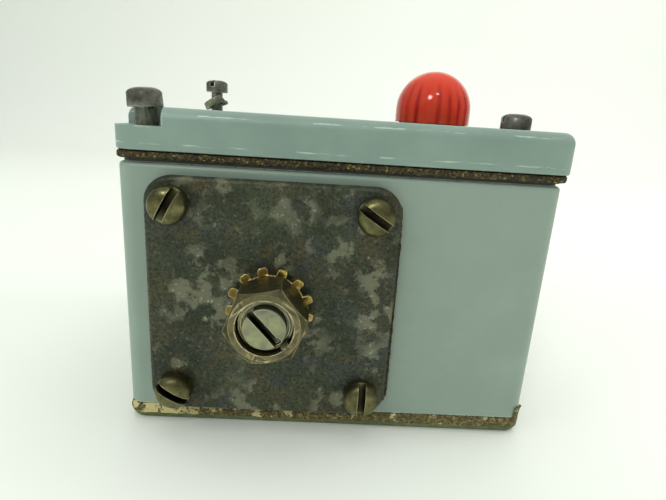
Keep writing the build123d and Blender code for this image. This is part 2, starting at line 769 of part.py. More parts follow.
with BuildPart() as contact_carrier:
    with BuildSketch(Plane.XY.offset(carrier_z)):
        with Locations((contactor_x, contactor_y)):
            Rectangle(core_width + 0.4, 9.0)
    extrude(amount=bridge_z + 8.6 - carrier_z)
    # arms that press on the return springs
    with BuildSketch(Plane.XY.offset(bridge_z + 1.0)):
        with Locations((contactor_x, contactor_y)):
            Rectangle(block_length, 6.0)
    extrude(amount=4.0)
    # windows for the contact bridges and their springs
    with BuildSketch(Plane.XZ.offset(-contactor_y)):
        with Locations((contactor_x, bridge_z)):
            with GridLocations(pole_spacing, 1, 3, 1):
                Rectangle(6.4, 7.4, align=(Align.CENTER, Align.MIN))
    extrude(amount=9.0, both=True, mode=Mode.SUBTRACT)
contact_carrier.part.label = "contact_carrier"

with BuildPart() as moving_contacts:
    with BuildSketch(Plane.XY.offset(bridge_z + 0.02)):
        with Locations((contactor_x, contactor_y)):
            with GridLocations(pole_spacing, 1, 3, 1):
                Rectangle(5.6, 26.0)
    extrude(amount=strip_thickness)
    with BuildSketch(Plane.XY.offset(bridge_z + 0.02)):
        for side in (-1, 1):
            with Locations((contactor_x, contactor_y + side * 11.2)):
                with GridLocations(pole_spacing, 1, 3, 1):
                    Circle(1.8)
    extrude(amount=-tip_height)
moving_contacts.part.label = "moving_contacts"

contact_spring = coil_spring(1.9, 0.3, 4, 6.0)
with BuildPart() as contact_springs:
    with Locations((contactor_x, contactor_y, bridge_z + strip_thickness + 0.05)):
        with GridLocations(pole_spacing, 1, 3, 1):
            add(contact_spring)
contact_springs.part.label = "contact_springs"

spring_seat_z = block_top_z - 2.4
return_spring = coil_spring(1.5, 0.3, 6, bridge_z + 1.0 - spring_seat_z - 0.6)
with BuildPart() as return_springs:
    with Locations((contactor_x, contactor_y, spring_seat_z + 0.05)):
        with GridLocations(block_length - 4.0, 1, 2, 1):
            add(return_spring)
return_springs.part.label = "return_springs"

# ---------------------------------------------------------------- overload relay
pocket_pitch = 13.0
with BuildPart() as overload_block:
    with BuildSketch(Plane.XY.offset(panel_top_z)):
        with Locations((relay_x, relay_y)):
            RectangleRounded(relay_width, relay_depth, 1.0)
    extrude(amount=relay_top_z - panel_top_z)
    with BuildSketch(Plane.XY.offset(relay_top_z)):
        with Locations((relay_x, relay_y)):
            with GridLocations(pocket_pitch, 1, 3, 1):
                RectangleRounded(10.4, 8.0, 1.0)
    extrude(amount=-25.0, mode=Mode.SUBTRACT)
    with Locations(facing_front(lever_x, relay_y - relay_depth / 2, pivot_z - 9.0)):
        Hole(1.0, 1.0)
overload_block.part.label = "overload_block"

pocket_floor_z = relay_top_z - 25.0
with BuildPart() as bimetal_strips:
    with BuildSketch(Plane.XY.offset(pocket_floor_z + 0.05)):
        with Locations((relay_x, relay_y)):
            with GridLocations(pocket_pitch, 1, 3, 1):
                Rectangle(0.9, 3.4)
    extrude(amount=27.0)
bimetal_strips.part.label = "bimetal_strips"

heater_turns = 7
heater_pitch = 2.6
with BuildPart() as heater:
    with BuildSketch(Plane.XZ):
        with BuildLine():
            outline = [(2.3, 0.0)]
            for turn in range(heater_turns):
                foot = turn * heater_pitch
                outline += [(3.4, foot), (3.4, foot + 1.8), (2.9, foot + 1.8), (2.9, foot + heater_pitch)]
            outline += [(2.3, heater_turns * heater_pitch)]
            Polyline(*outline, close=True)
        make_face()
    revolve(axis=Axis.Z)
with BuildPart() as heater_elements:
    with Locations((relay_x, relay_y, pocket_floor_z + 3.0)):
        with GridLocations(pocket_pitch, 1, 3, 1):
            add(heater.part)
heater_elements.part.label = "heater_elements"

with BuildPart() as pivot_pin:
    with BuildSketch(facing_front(lever_x, relay_y - relay_depth / 2, pivot_z)):
        Circle(1.2)
    extrude(amount=7.0)
pivot_pin.part.label = "pivot_pin"

with BuildPart() as trip_lever:
    with BuildSketch(facing_front(lever_x, cam_y + cam_thickness / 2, pivot_z)):
        Circle(2.8)
        with Locations((0, -6.5)):
            Rectangle(3.0, 13.0)
        with Locations((4.5, 0)):
            Rectangle(9.0, 2.6)
        Circle(1.25, mode=Mode.SUBTRACT)
    extrude(amount=cam_thickness)
trip_lever.part.label = "trip_lever"

with BuildPart() as trip_contacts:
    for level in (0.0, 3.0):
        with BuildSketch(Plane.XY.offset(relay_top_z + level)):
            with Locations((relay_x + 17.5, relay_y)):
                Rectangle(6.0, 9.0)
        extrude(amount=0.6)
trip_contacts.part.label = "trip_contacts"

# ---------------------------------------------------------------- one file for each piece
pieces = [
    housing, base_plate, base_gasket, base_screws, base_clinch_nuts,
    lid, lid_gasket,
    cover_screw_front_left, cover_screw_rear_left, cover_screw_right, cover_screw_rear_right,
    cover_lock_washer,
    end_plate_gasket, end_plate, end_plate_screws,
    adjuster_bush, flat_washer, tooth_lock_washer, hex_nut, adjuster_shaft, adjuster_cam,
    lamp_seal, lamp_holder, lamp_nut, lamp_socket, lamp_terminals, bulb_cap, bulb_glass, lamp_lens,
    hub_gasket, conduit_hub, conduit_locknut,
    mounting_panel, panel_screws,
    magnet_core, shading_rings, coil_bobbin, coil_winding, contactor_base, contact_block,
    fixed_contacts, terminal_screws,
    armature, contact_carrier, moving_contacts, contact_springs, return_springs,
    overload_block, bimetal_strips, heater_elements, pivot_pin, trip_lever, trip_contacts,
]
for piece in pieces:
    export_step(piece.part, f"parts/{piece.part.label}.step")
print(len(pieces), "pieces written")
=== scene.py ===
import json
from math import cos, pi, radians, sin

import bpy
from mathutils import Matrix, Vector


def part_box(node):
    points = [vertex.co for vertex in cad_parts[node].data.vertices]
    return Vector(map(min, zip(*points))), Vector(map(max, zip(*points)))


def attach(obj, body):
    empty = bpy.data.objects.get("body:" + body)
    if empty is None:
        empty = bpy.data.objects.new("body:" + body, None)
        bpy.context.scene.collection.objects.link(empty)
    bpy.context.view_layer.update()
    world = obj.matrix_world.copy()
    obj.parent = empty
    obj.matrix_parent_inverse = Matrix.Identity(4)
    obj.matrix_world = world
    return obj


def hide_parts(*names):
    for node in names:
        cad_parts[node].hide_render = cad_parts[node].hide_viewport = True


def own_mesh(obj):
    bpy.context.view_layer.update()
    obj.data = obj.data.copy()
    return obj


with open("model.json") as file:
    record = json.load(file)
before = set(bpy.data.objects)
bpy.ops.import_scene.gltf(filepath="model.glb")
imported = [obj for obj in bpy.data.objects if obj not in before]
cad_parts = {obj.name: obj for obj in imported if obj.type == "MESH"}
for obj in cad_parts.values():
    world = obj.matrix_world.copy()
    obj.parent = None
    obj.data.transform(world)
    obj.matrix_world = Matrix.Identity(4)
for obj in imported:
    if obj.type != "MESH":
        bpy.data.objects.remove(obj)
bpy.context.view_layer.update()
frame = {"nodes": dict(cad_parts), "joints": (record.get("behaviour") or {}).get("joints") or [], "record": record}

mm = 0.001
nodes = frame["nodes"]


# camera close in front of the adjuster end, at the height of the lid's top
camera = {
    "place": (-4.31 * mm, -122.20 * mm, 64.01 * mm),
    "turn": 2.10,        # degrees towards +X
    "dip": 15.70,        # degrees below level
    "roll": 3.69,
    "lens": 25.36,
}


def addCamera():
    turn, dip, roll = radians(camera["turn"]), radians(camera["dip"]), radians(camera["roll"])
    ahead = Vector((sin(turn) * cos(dip), cos(turn) * cos(dip), -sin(dip)))
    right = Vector((cos(turn), -sin(turn), 0))
    up = right.cross(ahead)
    side = cos(roll) * right + sin(roll) * up
    top = cos(roll) * up - sin(roll) * right
    data = bpy.data.cameras.new("camera")
    data.lens = camera["lens"]
    data.clip_start = 5 * mm
    seen = bpy.data.objects.new("camera", data)
    bpy.context.collection.objects.link(seen)
    turned = Matrix((side, top, -ahead)).transposed().to_4x4()
    seen.matrix_world = Matrix.Translation(camera["place"]) @ turned
    bpy.context.scene.camera = seen


addCamera()

# soft studio light: name, place, aimed at, size, watts, colour, seen in reflections
lights = [
    ("ceilingPanel", (0.05, 0.20, 0.80), (0, 0.05, 0.00), 0.90, 2.9, "#fdfff8", False),
    ("leftWindow", (-0.75, -0.35, 0.50), (0, 0, 0.03), 0.60, 1.8, "#f2fff6", False),
    ("rightFill", (0.80, -0.10, 0.40), (0, 0, 0.03), 0.70, 2.0, "#fffbf4", False),
    ("frontFill", (0.05, -0.85, 0.30), (0, 0, 0.03), 0.70, 0.3, "#fdfffa", False),
    ("wallWash", (0.70, 0.10, 0.60), (0.55, 0.75, 0.20), 0.40, 1.6, "#fdfffc", False),
    ("leftGlint", (-0.32, -0.69, 0.64), (0.023, 0, 0.07), 0.18, 1.6, "#ffffff", True),
    ("rightGlint", (0.02, -0.64, 0.77), (0.023, 0, 0.07), 0.10, 0.45, "#ffffff", True),
]


def hexToLinear(code):
    channels = [int(code[i:i + 2], 16) / 255 for i in (1, 3, 5)]
    return [c / 12.92 if c <= 0.04045 else ((c + 0.055) / 1.055) ** 2.4 for c in channels] + [1.0]


def addLights():
    for name, place, aim, size, watts, colour, mirrored in lights:
        data = bpy.data.lights.new(name, "AREA")
        data.energy = watts
        data.size = size
        data.color = hexToLinear(colour)[:3]
        panel = bpy.data.objects.new(name, data)
        bpy.context.collection.objects.link(panel)
        panel.location = place
        panel.rotation_euler = (Vector(aim) - Vector(place)).to_track_quat("-Z", "Y").to_euler()
        panel.visible_glossy = mirrored


addLights()
bpy.context.scene.view_settings.view_transform = "Standard"


# adds one node: sockets are linked, hex codes made linear, other values set as they are
def addNode(tree, kind, settings, out=0):
    node = tree.nodes.new("ShaderNode" + kind)
    for name, value in settings.items():
        if name == "stops":
            line = node.color_ramp
            for _ in value[2:]:
                line.elements.new(0.5)
            for element, (position, code) in zip(line.elements, value):
                element.position = position
                element.color = hexToLinear(code)
        elif isinstance(name, str) and name not in node.inputs:
            setattr(node, name, value)
        elif isinstance(value, bpy.types.NodeSocket):
            tree.links.new(value, node.inputs[name])
        else:
            node.inputs[name].default_value = hexToLinear(value) if isinstance(value, str) else value
    return node.outputs[out]


# the room: pale overhead and dimmer towards the horizon
def addRoom():
    world = bpy.data.worlds.new("studio")
    bpy.context.scene.world = world
    world.use_nodes = True
    tree = world.node_tree
    sky = tree.nodes["Background"]
    sky.inputs["Color"].default_value = hexToLinear("#f9fdf8")
    height = addNode(tree, "SeparateXYZ", {"Vector": addNode(tree, "TexCoord", {}, "Generated")}, "Z")
    rise = addNode(tree, "MapRange", {
        "Value": height, "From Min": 0.0, "From Max": 0.9, "To Min": 0.20, "To Max": 0.62})
    tree.links.new(rise, sky.inputs["Strength"])


addRoom()
print("camera and lights placed")


# a new material, with the values that are the same all over set on the shader itself
def startFinish(name, surface):
    material = bpy.data.materials.new(name)
    material.use_nodes = True
    tree = material.node_tree
    shader = tree.nodes["Principled BSDF"]
    for socket, value in surface.items():
        shader.inputs[socket].default_value = hexToLinear(value) if isinstance(value, str) else value
    return material, tree, addNode(tree, "TexCoord", {}, "Object")


# links what varies over the surface into the shader
def endFinish(material, varying):
    tree = material.node_tree
    shader = tree.nodes["Principled BSDF"]
    for name, socket in varying.items():
        tree.links.new(socket, shader.inputs[name])
    return material


# patches about size across: 1 where the cloud is thicker than high, 0 where it is thinner than low
def patches(tree, place, size, low, high, detail=3.0, stretch=(1, 1, 1), shift=0.0):
    away = (shift, -shift, 2 * shift)
    moved = addNode(tree, "Mapping", {"Vector": place, "Scale": stretch, "Location": away})
    cloud = addNode(tree, "TexNoise", {
        "Vector": moved, "Scale": 1 / size, "Detail": detail, "Roughness": 0.6})
    return addNode(tree, "MapRange", {"Value": cloud, "From Min": low, "From Max": high})


# 1 where the surface turns a corner tighter than radius, broken up by patches of the given size
def wornEdges(tree, place, radius, size, low, high):
    soft = addNode(tree, "Bevel", {"samples": 6, "Radius": radius})
    true = addNode(tree, "NewGeometry", {}, "Normal")
    along = addNode(tree, "VectorMath", {"operation": "DOT_PRODUCT", 0: soft, 1: true}, "Value")
    corner = addNode(tree, "MapRange", {"Value": along, "From Min": 0.995, "From Max": 0.90})
    broken = patches(tree, place, size, low, high)
    return addNode(tree, "Math", {"operation": "MULTIPLY", 0: corner, 1: broken})


# 1 deep in slots, threads and corners within reach, from ambient occlusion: the mask of painted shade in hollows
def hollowShade(tree, reach, openLevel, shadedLevel):
    clear = addNode(tree, "AmbientOcclusion", {"samples": 8, "only_local": True, "Distance": reach}, "AO")
    return addNode(tree, "MapRange", {"Value": clear, "From Min": openLevel, "From Max": shadedLevel})


# each later colour lies over the ones before it where its mask is 1
def coats(tree, first, *over):
    colour = first
    for mask, code in over:
        colour = addNode(tree, "Mix", {"data_type": "RGBA", 0: mask, 6: colour, 7: code}, 2)
    return colour


# bumps laid over each other, each a height from 0 to 1 and its depth in metres
def relief(tree, *layers):
    settings = {}
    for height, depth in layers:
        settings |= {"Height": height, "Distance": depth}
        settings["Normal"] = addNode(tree, "Bump", settings)
    return settings["Normal"]


# a roughness between two values that follows a mask
def gloss(tree, mask, smooth, dull):
    return addNode(tree, "MapRange", {"Value": mask, "To Min": smooth, "To Max": dull})


# machine enamel, sprayed on cast metal: satin, faint orange peel, chipped at the edges, with painted shade past
# the seam where the gap at the gasket lies in shadow
def machineEnamel(name, tone, shade, light, chip, shadeSeam, arrises=()):
    material, tree, place = startFinish(name, {"IOR": 1.5, "Specular IOR Level": 0.45})
    drift = patches(tree, place, 30 * mm, 0.30, 0.70, 1.5)
    haze = patches(tree, place, 9 * mm, 0.40, 0.80, 3.0, shift=0.7)
    specks = patches(tree, place, 0.9 * mm, 0.70, 0.74, 2.0, shift=1.3)
    worn = wornEdges(tree, place, 0.6 * mm, 3.0 * mm, 0.46, 0.56)
    bare = wornEdges(tree, place, 0.3 * mm, 1.1 * mm, 0.58, 0.62)
    colour = coats(
        tree, tone, (drift, shade), (haze, light), (specks, shade), (worn, chip), (bare, "#3a382e"))
    height = addNode(tree, "SeparateXYZ", {"Vector": place}, "Z")
    # painted shade: a near black band past the seam height, standing in for the shadow in the gasket gap
    grimeAndGapShade = addNode(tree, "MapRange", {"Value": height, "From Min": shadeSeam[0], "From Max": shadeSeam[1]})
    colour = coats(tree, colour, (grimeAndGapShade, "#1f1e17"))
    for arris in arrises:
        # rubbed through all round at this height, in dashes, and lighter there also as a painted highlight along
        # the edge
        near = addNode(tree, "Math", {"operation": "COMPARE", 0: height, 1: arris, 2: 0.13 * mm})
        dashes = patches(tree, place, 5 * mm, 0.50, 0.58, 6.0, stretch=(1, 1, 8), shift=arris / mm)
        rubbed = addNode(tree, "Math", {"operation": "MULTIPLY", 0: near, 1: dashes})
        colour = coats(tree, colour, (rubbed, chip))
    peel = addNode(tree, "TexNoise", {"Vector": place, "Scale": 1 / (1.3 * mm), "Detail": 1.5})
    dust = addNode(tree, "TexNoise", {"Vector": place, "Scale": 1 / (0.22 * mm), "Detail": 2.0})
    coated = addNode(tree, "Invert", {"Color": worn})
    return endFinish(material, {
        "Base Color": colour,
        "Roughness": gloss(tree, haze, 0.34, 0.44),
        "Normal": relief(tree, (peel, 18e-6), (dust, 2.5e-6), (coated, 25e-6)),
    })


# cork granules bound in rubber and cut from sheet: dark binder, golden and brown grains, a torn crumbly edge
def corkSheet(name, binder, grain, bright, cream=None):
    material, tree, place = startFinish(name, {"Roughness": 0.86, "IOR": 1.46})
    cells = {"Vector": place, "Scale": 1 / (0.34 * mm), "Randomness": 1.0}
    tint = addNode(tree, "TexVoronoi", cells, "Color")
    depth = addNode(tree, "TexVoronoi", cells, "Distance")
    share = addNode(tree, "SeparateColor", {"Color": tint}, "Red")
    colour = addNode(tree, "ValToRGB", {"Fac": share, "stops": [
        (0.0, binder), (0.38, binder), (0.62, grain), (0.88, grain), (1.0, bright)]})
    grimeAndGapShade = patches(tree, place, 7 * mm, 0.42, 0.62, 3.0)
    faint = addNode(tree, "Math", {"operation": "MULTIPLY", 0: grimeAndGapShade, 1: 0.55})
    colour = coats(tree, colour, (faint, binder))
    if cream:
        # scraps of the pale facing still stick to the half towards -X, more of them at that end
        across = addNode(tree, "SeparateXYZ", {"Vector": place}, "X")
        left = addNode(tree, "MapRange", {"Value": across, "From Min": 4 * mm, "From Max": -30 * mm})
        scraps = addNode(tree, "TexNoise", {
            "Vector": place, "Scale": 1 / (3.2 * mm), "Detail": 5.0, "Roughness": 0.65})
        share = addNode(tree, "Math", {"operation": "MULTIPLY_ADD", 0: left, 1: 0.13, 2: scraps})
        kept = addNode(tree, "MapRange", {"Value": share, "From Min": 0.585, "From Max": 0.625})
        colour = coats(tree, colour, (kept, cream))
    pits = addNode(tree, "MapRange", {
        "Value": depth, "From Min": 0.0, "From Max": 0.6, "To Min": 1.0, "To Max": 0.0})
    return endFinish(material, {"Base Color": colour, "Normal": relief(tree, (pits, 120e-6))})


# sheet steel whose old plating has gone dark and blotchy, with pale powdery patches where it was rubbed
def patinatedPlate(name):
    material, tree, place = startFinish(name, {"Metallic": 0.55})
    broad = patches(tree, place, 12 * mm, 0.40, 0.60, 5.0)
    brown = patches(tree, place, 7 * mm, 0.48, 0.62, 6.0, shift=0.9)
    slate = patches(tree, place, 8 * mm, 0.52, 0.64, 5.0, shift=2.1)
    fleck = patches(tree, place, 0.55 * mm, 0.46, 0.60, 4.0, shift=3.3)
    spots = patches(tree, place, 0.8 * mm, 0.58, 0.66, 4.0, shift=3.9)
    cloudy = patches(tree, place, 13 * mm, 0.46, 0.58, 3.0, shift=4.2)
    pale = patches(tree, place, 4.2 * mm, 0.50, 0.56, 10.0, shift=4.9)
    crumbs = patches(tree, place, 0.7 * mm, 0.60, 0.68, 5.0, shift=5.5)
    rubbed = wornEdges(tree, place, 0.6 * mm, 2.5 * mm, 0.36, 0.52)
    # painted shade: near black in the plate's own hollows, found by occlusion
    plateHollowShade = hollowShade(tree, 2.0 * mm, 0.70, 0.30)
    worn = addNode(tree, "Math", {"operation": "MULTIPLY", 0: pale, 1: cloudy})
    scattered = addNode(tree, "Math", {"operation": "MULTIPLY", 0: crumbs, 1: worn})
    colour = coats(
        tree, "#424a36", (broad, "#31372a"), (brown, "#4b4733"), (slate, "#3e443f"),
        (addNode(tree, "Math", {"operation": "MULTIPLY", 0: fleck, 1: 0.45}), "#262a1d"),
        (addNode(tree, "Math", {"operation": "MULTIPLY", 0: spots, 1: 0.55}), "#6f7256"),
        (addNode(tree, "Math", {"operation": "MULTIPLY", 0: worn, 1: 0.72}), "#85866f"),
        (scattered, "#b0b19a"), (rubbed, "#6f7658"), (plateHollowShade, "#1d1d15"))
    chalk = addNode(tree, "Math", {"operation": "MAXIMUM", 0: worn, 1: spots})
    grain = addNode(tree, "TexNoise", {"Vector": place, "Scale": 1 / (0.35 * mm), "Detail": 4.0})
    matt = addNode(tree, "Math", {"operation": "MAXIMUM", 0: chalk, 1: fleck})
    return endFinish(material, {
        "Base Color": colour,
        "Roughness": gloss(tree, matt, 0.36, 0.72),
        "Normal": relief(tree, (grain, 16e-6), (chalk, 24e-6)),
    })


# turned or pressed metal with an old plating: mottled tone and tarnish, painted shade in the hollows, bright worn
# edges
def oldMetal(name, tone, dark, bright, rust=None, metallic=0.95, smooth=0.30, dull=0.52, grit=0.5,
             wear=0.28):
    material, tree, place = startFinish(name, {"Metallic": metallic})
    mottle = patches(tree, place, 2.6 * mm, 0.38, 0.66, 5.0)
    tarnish = patches(tree, place, 0.9 * mm, 0.52, 0.70, 4.0, shift=1.7)
    worn = wornEdges(tree, place, wear * mm, 1.3 * mm, 0.34, 0.52)
    over = [(mottle, dark), (addNode(tree, "Math", {"operation": "MULTIPLY", 0: tarnish, 1: 0.6}), dark)]
    if rust:
        over.append((patches(tree, place, 0.8 * mm, 0.66, 0.72, 4.0, shift=2.9), rust))
    # painted shade: near black where the occlusion finds slots, threads and corners
    over += [(worn, bright), (hollowShade(tree, 3.0 * mm, 0.72, 0.42), "#17150e")]
    grain = addNode(tree, "TexNoise", {"Vector": place, "Scale": 1 / (grit * mm), "Detail": 4.0})
    return endFinish(material, {
        "Base Color": coats(tree, tone, *over),
        "Roughness": gloss(tree, mottle, smooth, dull),
        "Normal": relief(tree, (grain, 9e-6)),
    })


# clear red acrylic, injection moulded: glossy and tinted through its thickness, with painted shade as darker
# stripes along its flutes towards the foot
def redAcrylic(name, centre, flutes):
    material, tree, place = startFinish(name, {"IOR": 1.49, "Transmission Weight": 0.55})
    about = addNode(tree, "Mapping", {"Vector": place, "Location": (-centre.x, -centre.y, 0)})
    turn = addNode(tree, "TexGradient", {"gradient_type": "RADIAL", "Vector": about}, "Fac")
    wave = addNode(tree, "Math", {"operation": "SINE", 0: addNode(
        tree, "Math", {"operation": "MULTIPLY", 0: turn, 1: 2 * pi * flutes})})
    rib = addNode(tree, "MapRange", {"Value": wave, "From Min": -0.4, "From Max": 1.0})
    height = addNode(tree, "SeparateXYZ", {"Vector": place}, "Z")
    low = addNode(tree, "MapRange", {"Value": height, "From Min": centre.z + 4 * mm, "From Max": centre.z})
    uneven = patches(tree, place, 3.5 * mm, 0.38, 0.58, 3.0, stretch=(1, 1, 0.1), shift=2.3)
    # painted shade: the flute stripes darkened in the lower part of the lens, in uneven widths
    deep = addNode(tree, "Math", {"operation": "MULTIPLY", 0: rib, 1: addNode(
        tree, "Math", {"operation": "MULTIPLY", 0: low, 1: uneven})})
    haze = patches(tree, place, 3 * mm, 0.40, 0.75, 3.0)
    scuffs = patches(tree, place, 0.7 * mm, 0.70, 0.76, 3.0, shift=1.1)
    return endFinish(material, {
        "Base Color": coats(tree, "#ff5a34", (haze, "#ff4a28"), (deep, "#c4170c"), (scuffs, "#ff7a62")),
        "Roughness": gloss(tree, scuffs, 0.09, 0.30),
    })


# blown lamp glass: clear, slightly smoked near the cap
def lampGlass(name):
    material, tree, place = startFinish(name, {"IOR": 1.52, "Transmission Weight": 0.95})
    smoke = patches(tree, place, 4 * mm, 0.45, 0.80, 2.0)
    return endFinish(material, {
        "Base Color": coats(tree, "#f4ece0", (smoke, "#cbbba2")),
        "Roughness": gloss(tree, smoke, 0.02, 0.12),
    })


# moulded rubber, matt with a bloom of dust
def mouldedRubber(name):
    material, tree, place = startFinish(name, {"Roughness": 0.78, "IOR": 1.52})
    bloom = patches(tree, place, 2 * mm, 0.45, 0.75, 4.0)
    grain = addNode(tree, "TexNoise", {"Vector": place, "Scale": 1 / (0.3 * mm), "Detail": 3.0})
    return endFinish(material, {
        "Base Color": coats(tree, "#1c1c1a", (bloom, "#2f2f2b")), "Normal": relief(tree, (grain, 12e-6))})


# paper phenolic board, pressed and sawn: brown, faint fibres along X, low gloss
def phenolicBoard(name):
    material, tree, place = startFinish(name, {"IOR": 1.6})
    fibres = patches(tree, place, 4 * mm, 0.35, 0.70, 6.0, stretch=(0.25, 2.5, 2.5))
    flecks = patches(tree, place, 0.6 * mm, 0.64, 0.70, 3.0, stretch=(0.4, 1.6, 1.6), shift=1.4)
    return endFinish(material, {
        "Base Color": coats(tree, "#4c2c1b", (fibres, "#5d3a24"), (flecks, "#33190f")),
        "Roughness": gloss(tree, fibres, 0.38, 0.55),
        "Normal": relief(tree, (fibres, 6e-6)),
    })


# black phenolic, compression moulded with wood flour: deep gloss going grey where dust lies
def blackPhenolic(name):
    material, tree, place = startFinish(name, {"IOR": 1.63})
    flour = patches(tree, place, 0.7 * mm, 0.60, 0.78, 3.0)
    dust = patches(tree, place, 6 * mm, 0.45, 0.75, 5.0, shift=1.2)
    worn = wornEdges(tree, place, 0.3 * mm, 1.6 * mm, 0.45, 0.60)
    return endFinish(material, {
        "Base Color": coats(tree, "#15130f", (flour, "#241f19"), (dust, "#2c2a26"), (worn, "#5a5248")),
        "Roughness": gloss(tree, dust, 0.24, 0.50),
        "Normal": relief(tree, (patches(tree, place, 2.2 * mm, 0.3, 0.7, 2.0), 9e-6)),
    })


# stacked silicon steel stampings, 0.5 mm each along Y, oiled, with a little rust between them
def laminatedIron(name):
    material, tree, place = startFinish(name, {"Metallic": 0.9})
    stack = addNode(tree, "TexWave", {
        "bands_direction": "Y", "Vector": place, "Scale": 0.05 / (0.5 * mm),
        "Distortion": 0.4, "Detail": 1.0})
    rust = patches(tree, place, 3.5 * mm, 0.54, 0.66, 5.0)
    seams = addNode(tree, "MapRange", {"Value": stack, "From Min": 0.35, "From Max": 0.0})
    return endFinish(material, {
        "Base Color": coats(tree, "#7d7c78", (seams, "#2a2622"), (rust, "#5c402c")),
        "Roughness": gloss(tree, rust, 0.36, 0.70),
        "Normal": relief(tree, (stack, 40e-6)),
    })


# half hard copper strip, stamped, with silver contact tips on the side past the given height
def copperStrip(name, tipHeight, upwards):
    material, tree, place = startFinish(name, {"Metallic": 1.0})
    height = addNode(tree, "SeparateXYZ", {"Vector": place}, "Z")
    step = 0.05 * mm if upwards else -0.05 * mm
    silver = addNode(tree, "MapRange", {
        "Value": height, "From Min": tipHeight - step, "From Max": tipHeight + step})
    oxide = patches(tree, place, 2.4 * mm, 0.42, 0.68, 5.0)
    scratches = patches(tree, place, 1.2 * mm, 0.55, 0.75, 4.0, stretch=(6, 0.6, 1), shift=0.8)
    return endFinish(material, {
        "Base Color": coats(tree, "#c9805a", (oxide, "#7a4a30"), (scratches, "#dc9d78"), (silver, "#c8c6be")),
        "Roughness": gloss(tree, oxide, 0.26, 0.50),
        "Normal": relief(tree, (scratches, 5e-6)),
    })


# natural nylon, moulded: ivory, slightly translucent, dust in the corners
def naturalNylon(name):
    material, tree, place = startFinish(name, {
        "IOR": 1.53, "Subsurface Weight": 0.25, "Subsurface Scale": 1 * mm})
    dust = patches(tree, place, 3 * mm, 0.48, 0.72, 4.0)
    return endFinish(material, {
        "Base Color": coats(tree, "#cfc49d", (dust, "#ab9c70")), "Roughness": gloss(tree, dust, 0.36, 0.58)})


# varnished yellow cambric wound round the coil in 4.2 mm bands, over wire that shows as fine ridges
def coilTape(name):
    material, tree, place = startFinish(name, {"IOR": 1.5, "Coat Weight": 0.35, "Coat Roughness": 0.25})
    height = addNode(tree, "SeparateXYZ", {"Vector": place}, "Z")
    bands = addNode(tree, "Math", {"operation": "FRACT", 0: addNode(
        tree, "Math", {"operation": "DIVIDE", 0: height, 1: 4.2 * mm})})
    lap = addNode(tree, "MapRange", {
        "Value": bands, "From Min": 0.0, "From Max": 0.10, "To Min": 1.0, "To Max": 0.0})
    weave = addNode(tree, "TexWave", {
        "bands_direction": "Z", "Vector": place, "Scale": 0.05 / (0.35 * mm),
        "Distortion": 0.6, "Detail": 2.0})
    stains = patches(tree, place, 5 * mm, 0.45, 0.70, 4.0)
    return endFinish(material, {
        "Base Color": coats(tree, "#b58a35", (stains, "#8a6422"), (lap, "#5c4216")),
        "Roughness": gloss(tree, stains, 0.42, 0.62),
        "Normal": relief(tree, (bands, 120e-6), (weave, 20e-6)),
    })


# the seam heights set each enamel's band of painted shade by the gasket gap
bodyEnamel = machineEnamel("machineEnamelOnCasting", "#8b9d90", "#86988b", "#8ea093", "#aab7a8",
                           (54.05 * mm, 54.30 * mm))
# the lid's last values are the heights of its dashed edge lines: rubbed paint with a painted highlight
lidEnamel = machineEnamel("machineEnamelOnLid", "#82988d", "#7c9287", "#879d92", "#b2c1b3",
                          (56.42 * mm, 56.30 * mm), (62.85 * mm, 57.6 * mm))
basePaint = oldMetal(
    "paintedSteelPlate", "#6a7648", "#525f3a", "#9aa86e", metallic=0.2, smooth=0.45, dull=0.7)
lidCork = corkSheet("corkRubberSheet", "#28271a", "#524829", "#a4894a")
baseCork = corkSheet("corkRubberSheetFaced", "#4d482e", "#7d7349", "#ab975c", cream="#cbbf88")
endPlateFinish = patinatedPlate("patinatedPlatedSteel")
plateScrewSteel = oldMetal("brownedPlatedSteel", "#77744f", "#4e4a30", "#b3ae88", rust="#6a4420")
yellowedNickel = oldMetal(
    "yellowedNickelPlate", "#7a7452", "#54523a", "#d3cca6", smooth=0.28, dull=0.52, wear=0.5)
toothBronze = oldMetal(
    "phosphorBronzeSpring", "#bfa458", "#8a7438", "#f6efca", smooth=0.24, dull=0.44, wear=0.35)
shaftNickel = oldMetal("rubbedNickelPlate", "#9a9b76", "#7c8070", "#cfcdaa", smooth=0.34, dull=0.56)
blackenedSteel = oldMetal("blackenedSteel", "#85857a", "#4c4d44", "#c9c7bc", metallic=0.75, smooth=0.28,
                         dull=0.54, wear=0.45)
washerSteel = oldMetal(
    "weatheredSpringSteel", "#8e927c", "#5f6454", "#c2c6b2", metallic=0.8, smooth=0.40, dull=0.62)
zincPlate = oldMetal("dullZincPlate", "#a9aaa4", "#85867f", "#cfd0ca", smooth=0.34, dull=0.52)
castZinc = oldMetal("dieCastZinc", "#9b9d9a", "#7b7d7a", "#c4c6c2", smooth=0.40, dull=0.58, grit=0.8)
springSteel = oldMetal("springSteelWire", "#8f8f8b", "#5f5f5c", "#c2c2bd", smooth=0.24, dull=0.42)
bimetal = oldMetal("rolledBimetal", "#a8977a", "#7c6d54", "#cdbd9e", smooth=0.26, dull=0.44)
heaterAlloy = oldMetal("oxidisedResistanceAlloy", "#8a7f74", "#4f463f", "#b3a89a", smooth=0.36, dull=0.6)
nickelBrass = oldMetal("nickelPlatedBrass", "#bdb696", "#8f8768", "#dfd9bf", smooth=0.22, dull=0.42)
shadingCopper = oldMetal("shadingRingCopper", "#b8754e", "#744530", "#d99a74", smooth=0.3, dull=0.5)
fixedCopper = copperStrip("copperWithSilverTipsUp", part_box("fixed_contacts")[1].z - 0.9 * mm, True)
movingCopper = copperStrip("copperWithSilverTipsDown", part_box("moving_contacts")[0].z + 0.9 * mm, False)
